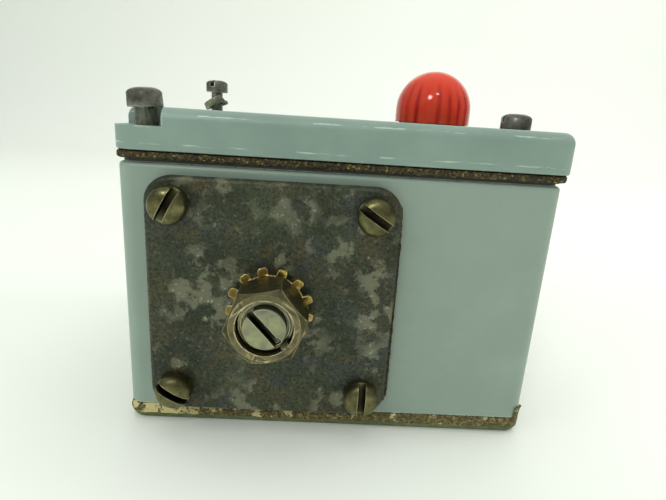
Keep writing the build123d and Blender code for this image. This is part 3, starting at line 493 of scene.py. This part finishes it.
redLens = redAcrylic("redAcrylicMoulding", (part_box("lamp_lens")[0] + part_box("lamp_lens")[1]) / 2, 22)
clearGlass = lampGlass("blownLampGlass")
rubber = mouldedRubber("mouldedRubber")
board = phenolicBoard("paperPhenolicBoard")
black = blackPhenolic("blackPhenolicMoulding")
iron = laminatedIron("siliconSteelLaminations")
nylon = naturalNylon("naturalNylonMoulding")
tape = coilTape("varnishedCoilTape")

nodeFinish = {
    bodyEnamel: ["housing"],
    lidEnamel: ["lid"],
    basePaint: ["base_plate"],
    baseCork: ["base_gasket"],
    lidCork: ["lid_gasket", "end_plate_gasket"],
    endPlateFinish: ["end_plate"],
    plateScrewSteel: ["end_plate_screws"],
    yellowedNickel: ["hex_nut", "flat_washer", "adjuster_bush", "adjuster_shaft", "adjuster_cam"],
    toothBronze: ["tooth_lock_washer"],
    blackenedSteel: [
        "cover_screw_front_left", "cover_screw_rear_left", "cover_screw_right", "cover_screw_rear_right",
        "cover_lock_washer"],
    zincPlate: [
        "base_screws", "base_clinch_nuts", "panel_screws", "conduit_locknut", "lamp_nut", "terminal_screws"],
    castZinc: ["conduit_hub"],
    rubber: ["lamp_seal", "hub_gasket"],
    board: ["mounting_panel", "trip_lever"],
    black: ["contactor_base", "contact_block", "contact_carrier", "overload_block", "lamp_socket"],
    iron: ["magnet_core", "armature"],
    shadingCopper: ["shading_rings"],
    nylon: ["coil_bobbin"],
    tape: ["coil_winding"],
    fixedCopper: ["fixed_contacts"],
    movingCopper: ["moving_contacts"],
    springSteel: ["contact_springs", "return_springs", "pivot_pin"],
    bimetal: ["bimetal_strips", "trip_contacts"],
    heaterAlloy: ["heater_elements"],
    nickelBrass: ["lamp_holder", "lamp_terminals", "bulb_cap"],
    clearGlass: ["bulb_glass"],
    redLens: ["lamp_lens"],
}
for material, names in nodeFinish.items():
    for name in names:
        nodes[name].data.materials.clear()
        nodes[name].data.materials.append(material)
print("materials made for", len(nodes), "nodes")


# picking and shaping by hand: everything is deselected first, then faces or edges are picked by place
def pickOnly(*items):
    bpy.ops.object.select_all(action="DESELECT")
    for item in items:
        item.select_set(True)
    bpy.context.view_layer.objects.active = items[0]


# goes into edit mode with what passes the test: faces by centre and normal, edges by middle and run
def editWhere(item, kind, test):
    mesh = item.data
    for part in (mesh.vertices, mesh.edges, mesh.polygons):
        part.foreach_set("select", [False] * len(part))
    if kind == "FACE":
        for face in mesh.polygons:
            face.select = test(face.center, face.normal)
    elif kind == "EDGE":
        for edge in mesh.edges:
            start, end = [mesh.vertices[i].co for i in edge.vertices]
            edge.select = test((start + end) / 2, end - start)
    else:
        for vertex in mesh.vertices:
            vertex.select = test(vertex.co, vertex.normal)
    pickOnly(item)
    bpy.ops.object.mode_set(mode="EDIT")
    bpy.ops.mesh.select_mode(type=kind)


def leaveEdit():
    bpy.ops.object.mode_set(mode="OBJECT")


def everything(*_):
    return True


def modify(item, kind, **settings):
    pickOnly(item)
    modifier = item.modifiers.new(kind.lower(), kind)
    for name, value in settings.items():
        setattr(modifier, name, value)
    bpy.ops.object.modifier_apply(modifier=modifier.name)


# takes the cutters away from the item, or unites or intersects it with them, and deletes them
def combine(item, operation, *cutters):
    for cutter in cutters:
        modify(item, "BOOLEAN", object=cutter, operation=operation, solver="EXACT")
        bpy.data.objects.remove(cutter)
    return item


# a primitive at its size and place, with the place in its mesh
def start(kind, name, turn=(0, 0, 0), **settings):
    bpy.ops.object.select_all(action="DESELECT")
    getattr(bpy.ops.mesh, f"primitive_{kind}_add")(rotation=[radians(angle) for angle in turn], **settings)
    item = bpy.context.active_object
    item.name = item.data.name = name
    pickOnly(item)
    bpy.ops.object.transform_apply(location=True, rotation=True, scale=True)
    return item


def box(name, size, at=(0, 0, 0), turn=(0, 0, 0)):
    item = start("cube", name, size=1)
    item.data.transform(Matrix.Diagonal((*size, 1)))
    place(item, Matrix.Translation(at) @ Matrix.Rotation(radians(turn[2]), 4, "Z")
          @ Matrix.Rotation(radians(turn[1]), 4, "Y") @ Matrix.Rotation(radians(turn[0]), 4, "X"))
    return item


def place(item, matrix):
    item.data.transform(matrix)
    item.data.update()
    return item


def copyOf(item, name, matrix=Matrix()):
    twin = bpy.data.objects.new(name, item.data.copy())
    twin.data.name = name
    bpy.context.collection.objects.link(twin)
    return place(twin, matrix)


# a welded copy of a CAD node's mesh, free to be shaped
def weldedCopy(node, name):
    twin = copyOf(nodes[node], name)
    twin.data.materials.clear()
    editWhere(twin, "VERT", everything)
    bpy.ops.mesh.remove_doubles(threshold=2e-6)
    leaveEdit()
    return twin


def joinAll(items, name):
    pickOnly(*items)
    bpy.ops.object.join()
    items[0].name = items[0].data.name = name
    return items[0]


def smooth(item, angle=35):
    pickOnly(item)
    bpy.ops.object.shade_smooth_by_angle(angle=radians(angle))


# gives a finished piece its material and the body it moves with, and hides the CAD nodes that it stands for
def fit(item, material, body, slot, *cadNodes):
    item.data.materials.clear()
    item.data.materials.append(material)
    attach(item, body)
    if cadNodes:
        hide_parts(*cadNodes)


# turns a piece modelled standing on +Z so that it faces out of the adjuster end, its +X turned by angle
def frontPlace(x, y, z, angle=0.0):
    across = Vector((cos(radians(angle)), 0, sin(radians(angle))))
    out = Vector((0, -1, 0))
    return Matrix.Translation((x, y, z)) @ Matrix((across, out.cross(across), out)).transposed().to_4x4()


def middle(node):
    low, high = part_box(node)
    return (low + high) / 2


# caps the open ends of what was swept and turns its faces outward
def closeEnds(item):
    editWhere(item, "VERT", everything)
    bpy.ops.mesh.select_all(action="DESELECT")
    bpy.ops.mesh.select_non_manifold()
    bpy.ops.mesh.fill()
    bpy.ops.mesh.select_all(action="SELECT")
    bpy.ops.mesh.normals_make_consistent(inside=False)
    leaveEdit()

# a V thread ridge wound up round Z, closed at both ends
def threadRidge(name, root, crest, pitch, turns, steps=28):
    ridge = start("circle", name, vertices=3, radius=1, fill_type="NOTHING")
    half = 0.46 * pitch
    for vertex, (reach, level) in zip(ridge.data.vertices, ((crest, 0.0), (root, half), (root, -half))):
        vertex.co = (reach, 0, level)
    modify(ridge, "SCREW", axis="Z", screw_offset=pitch, iterations=turns, steps=steps, render_steps=steps)
    closeEnds(ridge)
    return ridge


# slotted fillister screw: the head stands on z 0 with its slot along X, the threaded shank hangs below
def fillisterScrew(name, s):
    head = start("cylinder", name, vertices=64, radius=s["radius"], depth=s["side"],
                 location=(0, 0, s["side"] / 2))
    editWhere(head, "FACE", lambda at, normal: normal.z > 0.9)
    for share, rise in ((0.10, 0.42), (0.14, 0.26), (0.16, 0.17), (0.18, 0.10), (0.18, 0.05)):
        bpy.ops.mesh.inset(thickness=share * s["radius"], depth=rise * s["dome"])
    leaveEdit()
    editWhere(head, "EDGE", lambda at, run: at.z < 1e-6 and at.length > 0.9 * s["radius"])
    bpy.ops.mesh.bevel(offset=0.12 * mm, segments=2, affect="EDGES")
    leaveEdit()
    top = s["side"] + s["dome"]
    cutter = box("slotCutter", (3 * s["radius"], s["slot"], 2 * s["slotDepth"]), (0, 0, top))
    combine(head, "DIFFERENCE", cutter)
    if s.get("neck"):
        neck = start("cylinder", "neck", vertices=48, radius=s["neck"], depth=s["neckLength"] + 0.4 * mm,
                     location=(0, 0, 0.2 * mm - s["neckLength"] / 2))
        combine(head, "UNION", neck)
    shankTop = -s.get("neckLength", 0) + 0.3 * mm
    shank = start("cylinder", "shank", vertices=48, radius=s["shank"] - 0.24 * mm,
                  depth=s["length"] + shankTop, location=(0, 0, (shankTop - s["length"]) / 2))
    editWhere(shank, "FACE", lambda at, normal: normal.z < -0.9)
    bpy.ops.mesh.inset(thickness=0.45 * mm, depth=0.5 * mm)
    leaveEdit()
    turns = int((s["length"] + shankTop - 1.6 * mm) / s["pitch"])
    ridge = threadRidge("ridge", s["shank"] - 0.34 * mm, s["shank"], s["pitch"], turns)
    place(ridge, Matrix.Translation((0, 0, -s["length"] + 0.7 * mm)))
    combine(shank, "UNION", ridge)
    combine(head, "UNION", shank)
    modify(head, "BEVEL", width=s["edge"], segments=2, limit_method="ANGLE", angle_limit=radians(48))
    smooth(head, 40)
    return head


# captive cover screws, each at its own height in its seat, the front left one leaning in a worn hole
coverScrew = {
    "radius": 3.2 * mm, "side": 2.55 * mm, "dome": 0.95 * mm, "slot": 1.2 * mm, "slotDepth": 1.9 * mm,
    "shank": 2.1 * mm, "length": 20.0 * mm, "pitch": 0.79 * mm, "edge": 0.14 * mm,
    "neck": 2.1 * mm, "neckLength": 3.6 * mm,
}
coverScrewPlaces = [
    # node, body, turn of the slot, length, extra settings
    ("cover_screw_front_left", "front_left_screw", 20, 12.0, {"shank": 1.85 * mm, "neckLength": 4.6 * mm}),
    ("cover_screw_rear_left", "rear_left_screw", 75, 20.0, {"neck": 1.65 * mm, "neckLength": 10.0 * mm}),
    ("cover_screw_right", "right_screw", 8, 20.0, {}),
    ("cover_screw_rear_right", "rear_right_screw", 40, 20.0, {}),
]


def addCoverScrews():
    axes = {joint["child"]: Vector(joint["axis"]) for joint in frame["joints"]}
    headTall = coverScrew["side"] + coverScrew["dome"]
    for node, body, turned, length, extra in coverScrewPlaces:
        screw = fillisterScrew(body + "Piece", coverScrew | {"length": length * mm} | extra)
        axis = axes[body]
        low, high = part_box(node)
        centre = (low + high) / 2
        if axis.x:
            # the leaning screw: its middle lies half way along its own axis
            underHead = centre + axis * (length * mm - headTall) / 2
        else:
            underHead = Vector((centre.x, centre.y, high.z - headTall))
        lean = Vector((0, 0, 1)).rotation_difference(axis).to_matrix().to_4x4()
        place(screw, Matrix.Translation(underHead) @ lean @ Matrix.Rotation(radians(turned), 4, "Z"))
        fit(screw, blackenedSteel, body, "blackened_steel", node)


addCoverScrews()
print("cover screws made")

# split spring washer hanging askew on the raised screw, one cut end sticking up
splitWasher = {
    "inner": 2.45 * mm, "width": 1.0 * mm, "thick": 1.1 * mm, "sweep": 338, "rise": 1.0 * mm, "tilt": 22.0,
    "turn": -20.0, "sprungFrom": 0.80, "sprung": 1.5,
}


def addSplitWasher():
    s = splitWasher
    ring = start("plane", "splitWasher", size=1)
    place(ring, Matrix.Translation((s["inner"] + s["width"] / 2, 0, 0)) @ Matrix.Rotation(pi / 2, 4, "X")
          @ Matrix.Diagonal((s["width"], s["thick"], 1, 1)))
    editWhere(ring, "FACE", everything)
    bpy.ops.mesh.delete(type="ONLY_FACE")
    leaveEdit()
    modify(ring, "SCREW", axis="Z", angle=radians(s["sweep"]), screw_offset=s["rise"],
           steps=56, render_steps=56)
    closeEnds(ring)
    # the upper end is sprung up more than the rest of the turn
    for vertex in ring.data.vertices:
        above = vertex.co.z - s["sprungFrom"] * s["rise"]
        vertex.co.z += s["sprung"] * max(0.0, above)
    modify(ring, "BEVEL", width=0.07 * mm, segments=2, limit_method="ANGLE", angle_limit=radians(40))
    smooth(ring, 40)
    centre = middle("cover_lock_washer")
    tilt = Matrix.Rotation(radians(-s["tilt"]), 4, "Y")
    place(ring, Matrix.Translation(centre) @ tilt @ Matrix.Rotation(radians(s["turn"]), 4, "Z")
          @ Matrix.Translation((0, 0, -s["rise"] / 2)))
    fit(ring, washerSteel, "rear_left_screw", "blackened_steel", "cover_lock_washer")


addSplitWasher()
print("split washer made")

# four domed screws of the end plate, each slot stopped at its own angle
plateScrew = {
    "radius": 3.45 * mm, "side": 2.35 * mm, "dome": 1.25 * mm, "slot": 1.45 * mm, "slotDepth": 2.3 * mm,
    "shank": 2.0 * mm, "length": 7.5 * mm, "pitch": 0.79 * mm, "edge": 0.13 * mm,
}
plateSlotAngles = {(-1, 1): 62, (1, 1): -33, (-1, -1): -30, (1, -1): 90}


def addPlateScrews():
    low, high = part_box("end_plate_screws")
    centre = middle("end_plate")
    reach = (high.x - low.x) / 2 - plateScrew["radius"]
    underHead = low.y + plateScrew["side"] + plateScrew["dome"]
    screws = []
    for (side, level), angle in plateSlotAngles.items():
        screw = fillisterScrew("plateScrew", plateScrew)
        place(screw, frontPlace(centre.x + side * reach, underHead, centre.z + level * reach, angle))
        screws.append(screw)
    group = joinAll(screws, "endPlateScrewsPiece")
    fit(group, plateScrewSteel, "housing", "plate_screw_steel", "end_plate_screws")


addPlateScrews()
print("end plate screws made")

# hexagon nut, chamfered at both faces and round its bore, staked at one place against the bush
hexNut = {
    "flats": 13.0 * mm, "turn": 10.0, "bore": 5.02 * mm, "mouth": 0.4 * mm, "faceRound": 6.2 * mm,
    "slope": 1.15 * mm, "edge": 0.12 * mm,
    "stakeAngle": -41.0, "stake": (1.15 * mm, 1.5 * mm, 0.9 * mm), "stakeDeep": 0.75 * mm,
}


def addHexNut():
    s = hexNut
    low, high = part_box("hex_nut")
    centre = middle("hex_nut")
    tall = high.y - low.y
    corner = s["flats"] / 2 / cos(radians(30))
    wide = corner * 1.02
    halfWay = (0, 0, tall / 2)
    nut = start("cylinder", "hexNutPiece", turn=(0, 0, 30), vertices=6, radius=corner, depth=tall,
                location=halfWay)
    barrel = start("cylinder", "barrel", vertices=96, radius=wide, depth=tall - 2 * s["slope"],
                   location=halfWay)
    for level, rise in ((tall - s["slope"], s["slope"]), (s["slope"], -s["slope"])):
        editWhere(barrel, "FACE", lambda at, normal: abs(at.z - level) < 1e-6 and abs(normal.z) > 0.9)
        bpy.ops.mesh.extrude_region_move(TRANSFORM_OT_translate={"value": (0, 0, rise)})
        narrow = s["faceRound"] / wide
        bpy.ops.transform.resize(value=(narrow, narrow, 1))
        leaveEdit()
    combine(nut, "INTERSECT", barrel)
    bore = start("cylinder", "bore", vertices=72, radius=s["bore"], depth=3 * tall)
    mouth = start("cone", "mouth", vertices=72, radius1=s["bore"] - s["mouth"],
                  radius2=s["bore"] + s["mouth"], depth=2 * s["mouth"], location=(0, 0, tall))
    combine(nut, "DIFFERENCE", bore, mouth)
    turned = s["stakeAngle"] - s["turn"]
    reach = s["bore"] - 0.05 * mm
    stakeAt = (reach * cos(radians(turned)), reach * sin(radians(turned)), tall - s["stakeDeep"])
    stake = box("stake", s["stake"], stakeAt, (0, 0, turned))
    editWhere(stake, "FACE", everything)
    bpy.ops.mesh.subdivide(number_cuts=2, smoothness=0.8)
    leaveEdit()
    combine(nut, "UNION", stake)
    modify(nut, "BEVEL", width=s["edge"], segments=2, limit_method="ANGLE", angle_limit=radians(25))
    smooth(nut, 40)
    place(nut, frontPlace(centre.x, high.y, centre.z, s["turn"]))
    fit(nut, yellowedNickel, "housing", "nut_steel", "hex_nut")


addHexNut()
print("hex nut made")

# external tooth lock washer: a stamped ring whose short rounded teeth are twisted out of its plane
toothWasher = {
    "outer": 6.8 * mm, "inner": 5.0 * mm, "thick": 0.62 * mm, "teeth": 13, "start": 18.6,
    "tooth": (2.1 * mm, 1.9 * mm, 0.62 * mm), "corner": 0.62 * mm, "reach": 7.2 * mm, "twist": 16.0,
    "grain": 0.12 * mm,
}


def addToothWasher():
    s = toothWasher
    centre = middle("tooth_lock_washer")
    ring = start("cylinder", "toothWasherPiece", vertices=78, radius=s["outer"], depth=s["thick"])
    bore = start("cylinder", "bore", vertices=78, radius=s["inner"], depth=3 * s["thick"])
    combine(ring, "DIFFERENCE", bore)
    tooth = box("tooth", s["tooth"])
    editWhere(tooth, "EDGE", lambda at, run: abs(run.z) > 0.5 * s["thick"] and at.x > 0)
    bpy.ops.mesh.bevel(offset=s["corner"], segments=5, affect="EDGES")
    leaveEdit()
    place(tooth, Matrix.Translation((s["reach"], 0, 0)) @ Matrix.Rotation(radians(s["twist"]), 4, "X"))
    teeth = [copyOf(tooth, "tooth", Matrix.Rotation(radians(s["start"] + 360 * i / s["teeth"]), 4, "Z"))
             for i in range(s["teeth"])]
    bpy.data.objects.remove(tooth)
    combine(ring, "UNION", joinAll(teeth, "teeth"))
    modify(ring, "REMESH", mode="VOXEL", voxel_size=s["grain"])
    modify(ring, "SMOOTH", factor=0.5, iterations=3)
    smooth(ring, 60)
    place(ring, frontPlace(centre.x, centre.y, centre.z))
    fit(ring, toothBronze, "housing", "toothed_bronze", "tooth_lock_washer")


addToothWasher()
print("tooth washer made")

# adjuster shaft with a screwdriver slot, its face slightly dished and scarred round the slot's lower end
adjusterShaft = {
    "radius": 4.1 * mm, "tail": 3.0 * mm, "tailLength": 6.0 * mm, "end": 3.78 * mm, "endLength": 2.2 * mm,
    "rim": 0.16 * mm, "dishEdge": 1.4 * mm, "dish": 0.08 * mm,
    "slot": 1.35 * mm, "deep": 1.7 * mm, "angle": -48.0,
    "notch": (3.05 * mm, 0.42 * mm), "notchRadius": 0.62 * mm, "notchDeep": 0.8 * mm,
}


def addAdjusterShaft():
    s = adjusterShaft
    low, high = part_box("adjuster_shaft")
    centre = middle("adjuster_shaft")
    tall = high.y - low.y
    body = tall - s["tailLength"]
    shoulder = tall - s["endLength"]
    thick = body - s["endLength"]
    shaft = start("cylinder", "adjusterShaftPiece", vertices=72, radius=s["radius"], depth=thick,
                  location=(0, 0, shoulder - thick / 2))
    editWhere(shaft, "FACE", lambda at, normal: normal.z > 0.9)
    bpy.ops.mesh.inset(thickness=s["radius"] - s["end"], depth=0)
    bpy.ops.mesh.extrude_region_move(TRANSFORM_OT_translate={"value": (0, 0, s["endLength"] - s["rim"])})
    bpy.ops.mesh.inset(thickness=s["rim"], depth=0)
    bpy.ops.transform.translate(value=(0, 0, s["rim"]))
    bpy.ops.mesh.inset(thickness=s["dishEdge"], depth=-s["dish"])
    leaveEdit()
    editWhere(shaft, "FACE", lambda at, normal: normal.z < -0.9)
    bpy.ops.mesh.inset(thickness=s["radius"] - s["tail"], depth=0)
    bpy.ops.mesh.extrude_region_move(TRANSFORM_OT_translate={"value": (0, 0, -s["tailLength"])})
    leaveEdit()
    slot = box("slotCutter", (3 * s["radius"], s["slot"], 2 * s["deep"]), (0, 0, tall))
    notch = start("cylinder", "notch", vertices=24, radius=s["notchRadius"], depth=2 * s["notchDeep"],
                  location=(*s["notch"], tall))
    combine(shaft, "DIFFERENCE", slot, notch)
    modify(shaft, "BEVEL", width=0.07 * mm, segments=2, limit_method="ANGLE", angle_limit=radians(40))
    smooth(shaft, 40)
    place(shaft, frontPlace(centre.x, high.y, centre.z, s["angle"]))
    fit(shaft, shaftNickel, "adjuster", "nut_steel", "adjuster_shaft")


addAdjusterShaft()
print("adjuster shaft made")

# pilot lamp lens: a domed cap with flutes moulded down its inside
lens = {"wall": 0.9 * mm, "flutes": 22, "fluteDepth": 0.62 * mm, "around": 176}


def addLens():
    s = lens
    low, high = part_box("lamp_lens")
    centre = middle("lamp_lens")
    radius = (high.x - low.x) / 2
    level = high.z - radius
    shells = []
    for name, size in (("lensPiece", radius), ("innerShell", radius - s["wall"])):
        shell = start("uv_sphere", name, segments=s["around"], ring_count=48, radius=size)
        editWhere(shell, "VERT", everything)
        bpy.ops.mesh.bisect(plane_co=(0, 0, 0), plane_no=(0, 0, 1), clear_inner=True)
        leaveEdit()
        for share in (0.0, 0.5):
            foot = -share * (level - low.z)
            editWhere(shell, "EDGE", lambda at, run: abs(run.z) < 1e-7 and at.z < foot + 1e-6)
            bpy.ops.mesh.extrude_region_move(TRANSFORM_OT_translate={"value": (0, 0, -0.5 * (level - low.z))})
            leaveEdit()
        shells.append(shell)
    # the flutes are deepest on the straight wall and fade out towards the crown
    for vertex in shells[1].data.vertices:
        turn = Vector((vertex.co.x, vertex.co.y)).angle_signed(Vector((1, 0)), 0)
        fade = max(0.0, min(1.0, 1.0 - vertex.co.z / (0.62 * radius)))
        wave = 0.5 - 0.5 * cos(s["flutes"] * turn)
        flat = 1 - fade * wave * s["fluteDepth"] / (radius - s["wall"])
        vertex.co.x *= flat
        vertex.co.y *= flat
    editWhere(shells[1], "FACE", everything)
    bpy.ops.mesh.flip_normals()
    leaveEdit()
    cap = joinAll(shells, "lensPiece")
    foot = min(v.co.z for v in cap.data.vertices)
    editWhere(cap, "EDGE", lambda at, run: at.z < foot + 1e-6)
    bpy.ops.mesh.bridge_edge_loops()
    bpy.ops.mesh.select_all(action="SELECT")
    bpy.ops.mesh.remove_doubles(threshold=1e-6)
    bpy.ops.mesh.normals_make_consistent(inside=False)
    leaveEdit()
    smooth(cap, 50)
    place(cap, Matrix.Translation((centre.x, centre.y, level)))
    fit(cap, redLens, "lens", "red_lens", "lamp_lens")


addLens()
print("lens made")

# cork and rubber gaskets: welded copies remeshed to the size of a grain, their faces and cut edges crumbled
gasketGrain = {"voxel": 0.42 * mm, "crumb": 1.1 * mm, "depth": 0.34 * mm}


def crumble(item, crumb, depth, level=0.62):
    cloud = bpy.data.textures.new(item.name + "Crumbs", "CLOUDS")
    cloud.noise_scale = crumb
    cloud.noise_depth = 2
    cloud.noise_type = "HARD_NOISE"
    modify(item, "DISPLACE", texture=cloud, texture_coords="LOCAL", strength=depth, mid_level=level)


def crumbledGasket(node, name, lip=None):
    sheet = weldedCopy(node, name)
    if lip:
        # pressed out past the plate it lies on, the sheet hangs over that plate's edge
        low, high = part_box(node)
        wider = [1 + 2 * lip[0] / (high.x - low.x), 1 + 2 * lip[0] / (high.y - low.y), 1, 1]
        squeezed = copyOf(sheet, "squeezed", Matrix.Translation((0, 0, -lip[1])) @ Matrix.Diagonal(wider))
        sheet = joinAll([sheet, squeezed], name)
    modify(sheet, "REMESH", mode="VOXEL", voxel_size=gasketGrain["voxel"], adaptivity=0.0)
    crumble(sheet, gasketGrain["crumb"], gasketGrain["depth"])
    smooth(sheet, 60)
    return sheet


lidSheet = crumbledGasket("lid_gasket", "lidGasketPiece")
fit(lidSheet, lidCork, "lid", "cork_gasket", "lid_gasket")
endSheet = crumbledGasket("end_plate_gasket", "endPlateGasketPiece")
fit(endSheet, lidCork, "housing", "cork_gasket", "end_plate_gasket")

# the base gasket has lifted at the corner under the lamp side, where a torn curl of it stands up
tornCurl = {
    "width": 2.6 * mm, "tall": 3.0 * mm, "thick": 0.55 * mm, "bend": 14.0, "turn": 42.0,
    "lip": (0.30 * mm, 0.8 * mm),
}


def addBaseGasket():
    s = tornCurl
    sheet = crumbledGasket("base_gasket", "baseGasketPiece", s["lip"])
    low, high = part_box("base_gasket")
    curl = box("curl", (s["thick"], s["width"], s["tall"]), (0, 0, s["tall"] / 2))
    editWhere(curl, "FACE", everything)
    bpy.ops.mesh.subdivide(number_cuts=7)
    leaveEdit()
    modify(curl, "SIMPLE_DEFORM", deform_method="BEND", deform_axis="Y", angle=radians(s["bend"]))
    crumble(curl, 1.4 * mm, 0.35 * mm)
    corner = 3.0 * mm * (1 - cos(radians(45)))
    place(curl, Matrix.Translation((high.x - corner - 0.1 * mm, low.y + corner, low.z + 0.9 * mm))
          @ Matrix.Rotation(radians(-s["turn"]), 4, "Z"))
    modify(curl, "BEVEL", width=0.08 * mm, segments=2, limit_method="ANGLE", angle_limit=radians(50))
    smooth(curl, 50)
    torn = joinAll([sheet, curl], "baseGasketPiece")
    fit(torn, baseCork, "housing", "cork_gasket", "base_gasket")


addBaseGasket()
print("gaskets made")

# lamp bulb: a blown envelope over a coiled filament on two lead wires
bulb = {
    "wall": 0.3 * mm, "wire": 0.16 * mm, "coil": 0.34 * mm, "turns": 9, "span": 3.2 * mm, "stand": 3.1 * mm,
}


def addBulb():
    s = bulb
    low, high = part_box("bulb_glass")
    centre = middle("bulb_glass")
    radius = (high.x - low.x) / 2
    waist = high.z - low.z - radius
    envelope = start("uv_sphere", "bulbEnvelope", segments=48, ring_count=24, radius=radius,
                     location=(0, 0, waist))
    for vertex in envelope.data.vertices:
        if vertex.co.z < waist:
            below = (waist - vertex.co.z) / radius
            narrow = 1 - 0.14 * below * below
            reach = Vector((vertex.co.x, vertex.co.y)).length
            if reach > 1e-6:
                wide = radius * narrow * min(1.0, 2.2 * reach / radius)
                vertex.co.x *= wide / reach
                vertex.co.y *= wide / reach
            vertex.co.z = max(0.05 * mm, waist * (1 - below))
    editWhere(envelope, "VERT", everything)
    bpy.ops.mesh.normals_make_consistent(inside=False)
    leaveEdit()
    modify(envelope, "SOLIDIFY", thickness=s["wall"], offset=-1.0)
    smooth(envelope, 60)
    place(envelope, Matrix.Translation((centre.x, centre.y, low.z)))
    fit(envelope, clearGlass, "lid", "bulb_glass", "bulb_glass")
    # the filament is a fine coil lying along X between two upright leads
    coil = start("circle", "filament", turn=(90, 0, 0), vertices=6, radius=s["wire"] / 2, fill_type="NOTHING",
                 location=(s["coil"], 0, 0))
    modify(coil, "SCREW", axis="Z", screw_offset=s["span"] / s["turns"], iterations=s["turns"],
           steps=10, render_steps=10)
    place(coil, Matrix.Translation((-s["span"] / 2, 0, s["stand"])) @ Matrix.Rotation(pi / 2, 4, "Y"))
    leads = []
    for side in (-1, 1):
        lead = start("cylinder", "lead", turn=(0, 8 * side, 0), vertices=10, radius=s["wire"] * 0.8,
                     depth=s["stand"], location=(side * (s["span"] / 2 - 0.2 * mm), 0, s["stand"] / 2))
        leads.append(lead)
    bead = start("uv_sphere", "bead", segments=16, ring_count=10, radius=0.55 * mm, location=(0, 0, 0.9 * mm))
    place(bead, Matrix.Diagonal((1.9, 1, 1, 1)))
    wires = joinAll([coil, *leads, bead], "bulbFilament")
    closeEnds(wires)
    smooth(wires, 50)
    place(wires, Matrix.Translation((centre.x, centre.y, low.z + 0.35 * mm)))
    fit(wires, springSteel, "lid", "spring_steel")


addBulb()
print("bulb made")

# conduit hub: the cast hub with its thread cut in the mouth
hubThread = {"pitch": 1.81 * mm, "deep": 0.85 * mm, "turns": 5, "from": 1.2 * mm}


def addConduitHub():
    s = hubThread
    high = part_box("conduit_hub")[1]
    centre = middle("conduit_hub")
    mount = next(mount for mount in frame["record"]["mounts"] if mount["name"] == "conduit_entry")
    bore = mount["dims"]["r_mm"] * mm
    hub = weldedCopy("conduit_hub", "conduitHubPiece")
    groove = threadRidge("hubGroove", bore - 0.15 * mm, bore + s["deep"], s["pitch"], s["turns"], 48)
    mouth = Matrix.Translation((centre.x, high.y - s["from"], centre.z))
    place(groove, mouth @ Matrix.Rotation(pi / 2, 4, "X"))
    combine(hub, "DIFFERENCE", groove)
    smooth(hub, 35)
    fit(hub, castZinc, "housing", "zinc_hub", "conduit_hub")


addConduitHub()
print("conduit hub made")


# return springs: a welded, smoothed copy of the CAD springs
def addReturnSprings():
    low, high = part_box("return_springs")
    springs = weldedCopy("return_springs", "returnSpringsPiece")
    smooth(springs, 50)
    fit(springs, springSteel, "housing", "spring_steel", "return_springs")
    foot = middle("return_springs")
    foot.z = low.z
    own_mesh(springs)


addReturnSprings()
print("return springs made")

# plain pale floor that runs back and up into a pale wall
studio = {"reach": 1.6, "back": 0.75, "rise": 1.3, "curve": 0.22, "colour": "#f2f4ef", "shade": "#eff2ec"}


def addFloor():
    floor = start("plane", "studioFloor", size=2)
    for vertex in floor.data.vertices:
        vertex.co.x *= studio["reach"]
        vertex.co.y = studio["back"] if vertex.co.y > 0 else -studio["reach"]
    editWhere(floor, "EDGE", lambda at, run: at.y > studio["back"] - mm)
    bpy.ops.mesh.extrude_region_move(TRANSFORM_OT_translate={"value": (0, 0, studio["rise"])})
    leaveEdit()
    editWhere(floor, "EDGE", lambda at, run: abs(at.y - studio["back"]) < mm and at.z < mm)
    bpy.ops.mesh.bevel(offset=studio["curve"], segments=16, affect="EDGES")
    leaveEdit()
    bpy.ops.object.shade_smooth()
    paper, tree, place = startFinish("matPaper", {"Roughness": 0.62, "IOR": 1.45})
    cloud = patches(tree, place, 400 * mm, 0.30, 0.70, 1.0)
    tooth = addNode(tree, "TexNoise", {"Vector": place, "Scale": 1 / (0.8 * mm), "Detail": 2.0})
    endFinish(paper, {
        "Base Color": coats(tree, studio["colour"], (cloud, studio["shade"])),
        "Normal": relief(tree, (tooth, 8e-6)),
    })
    floor.data.materials.append(paper)


addFloor()
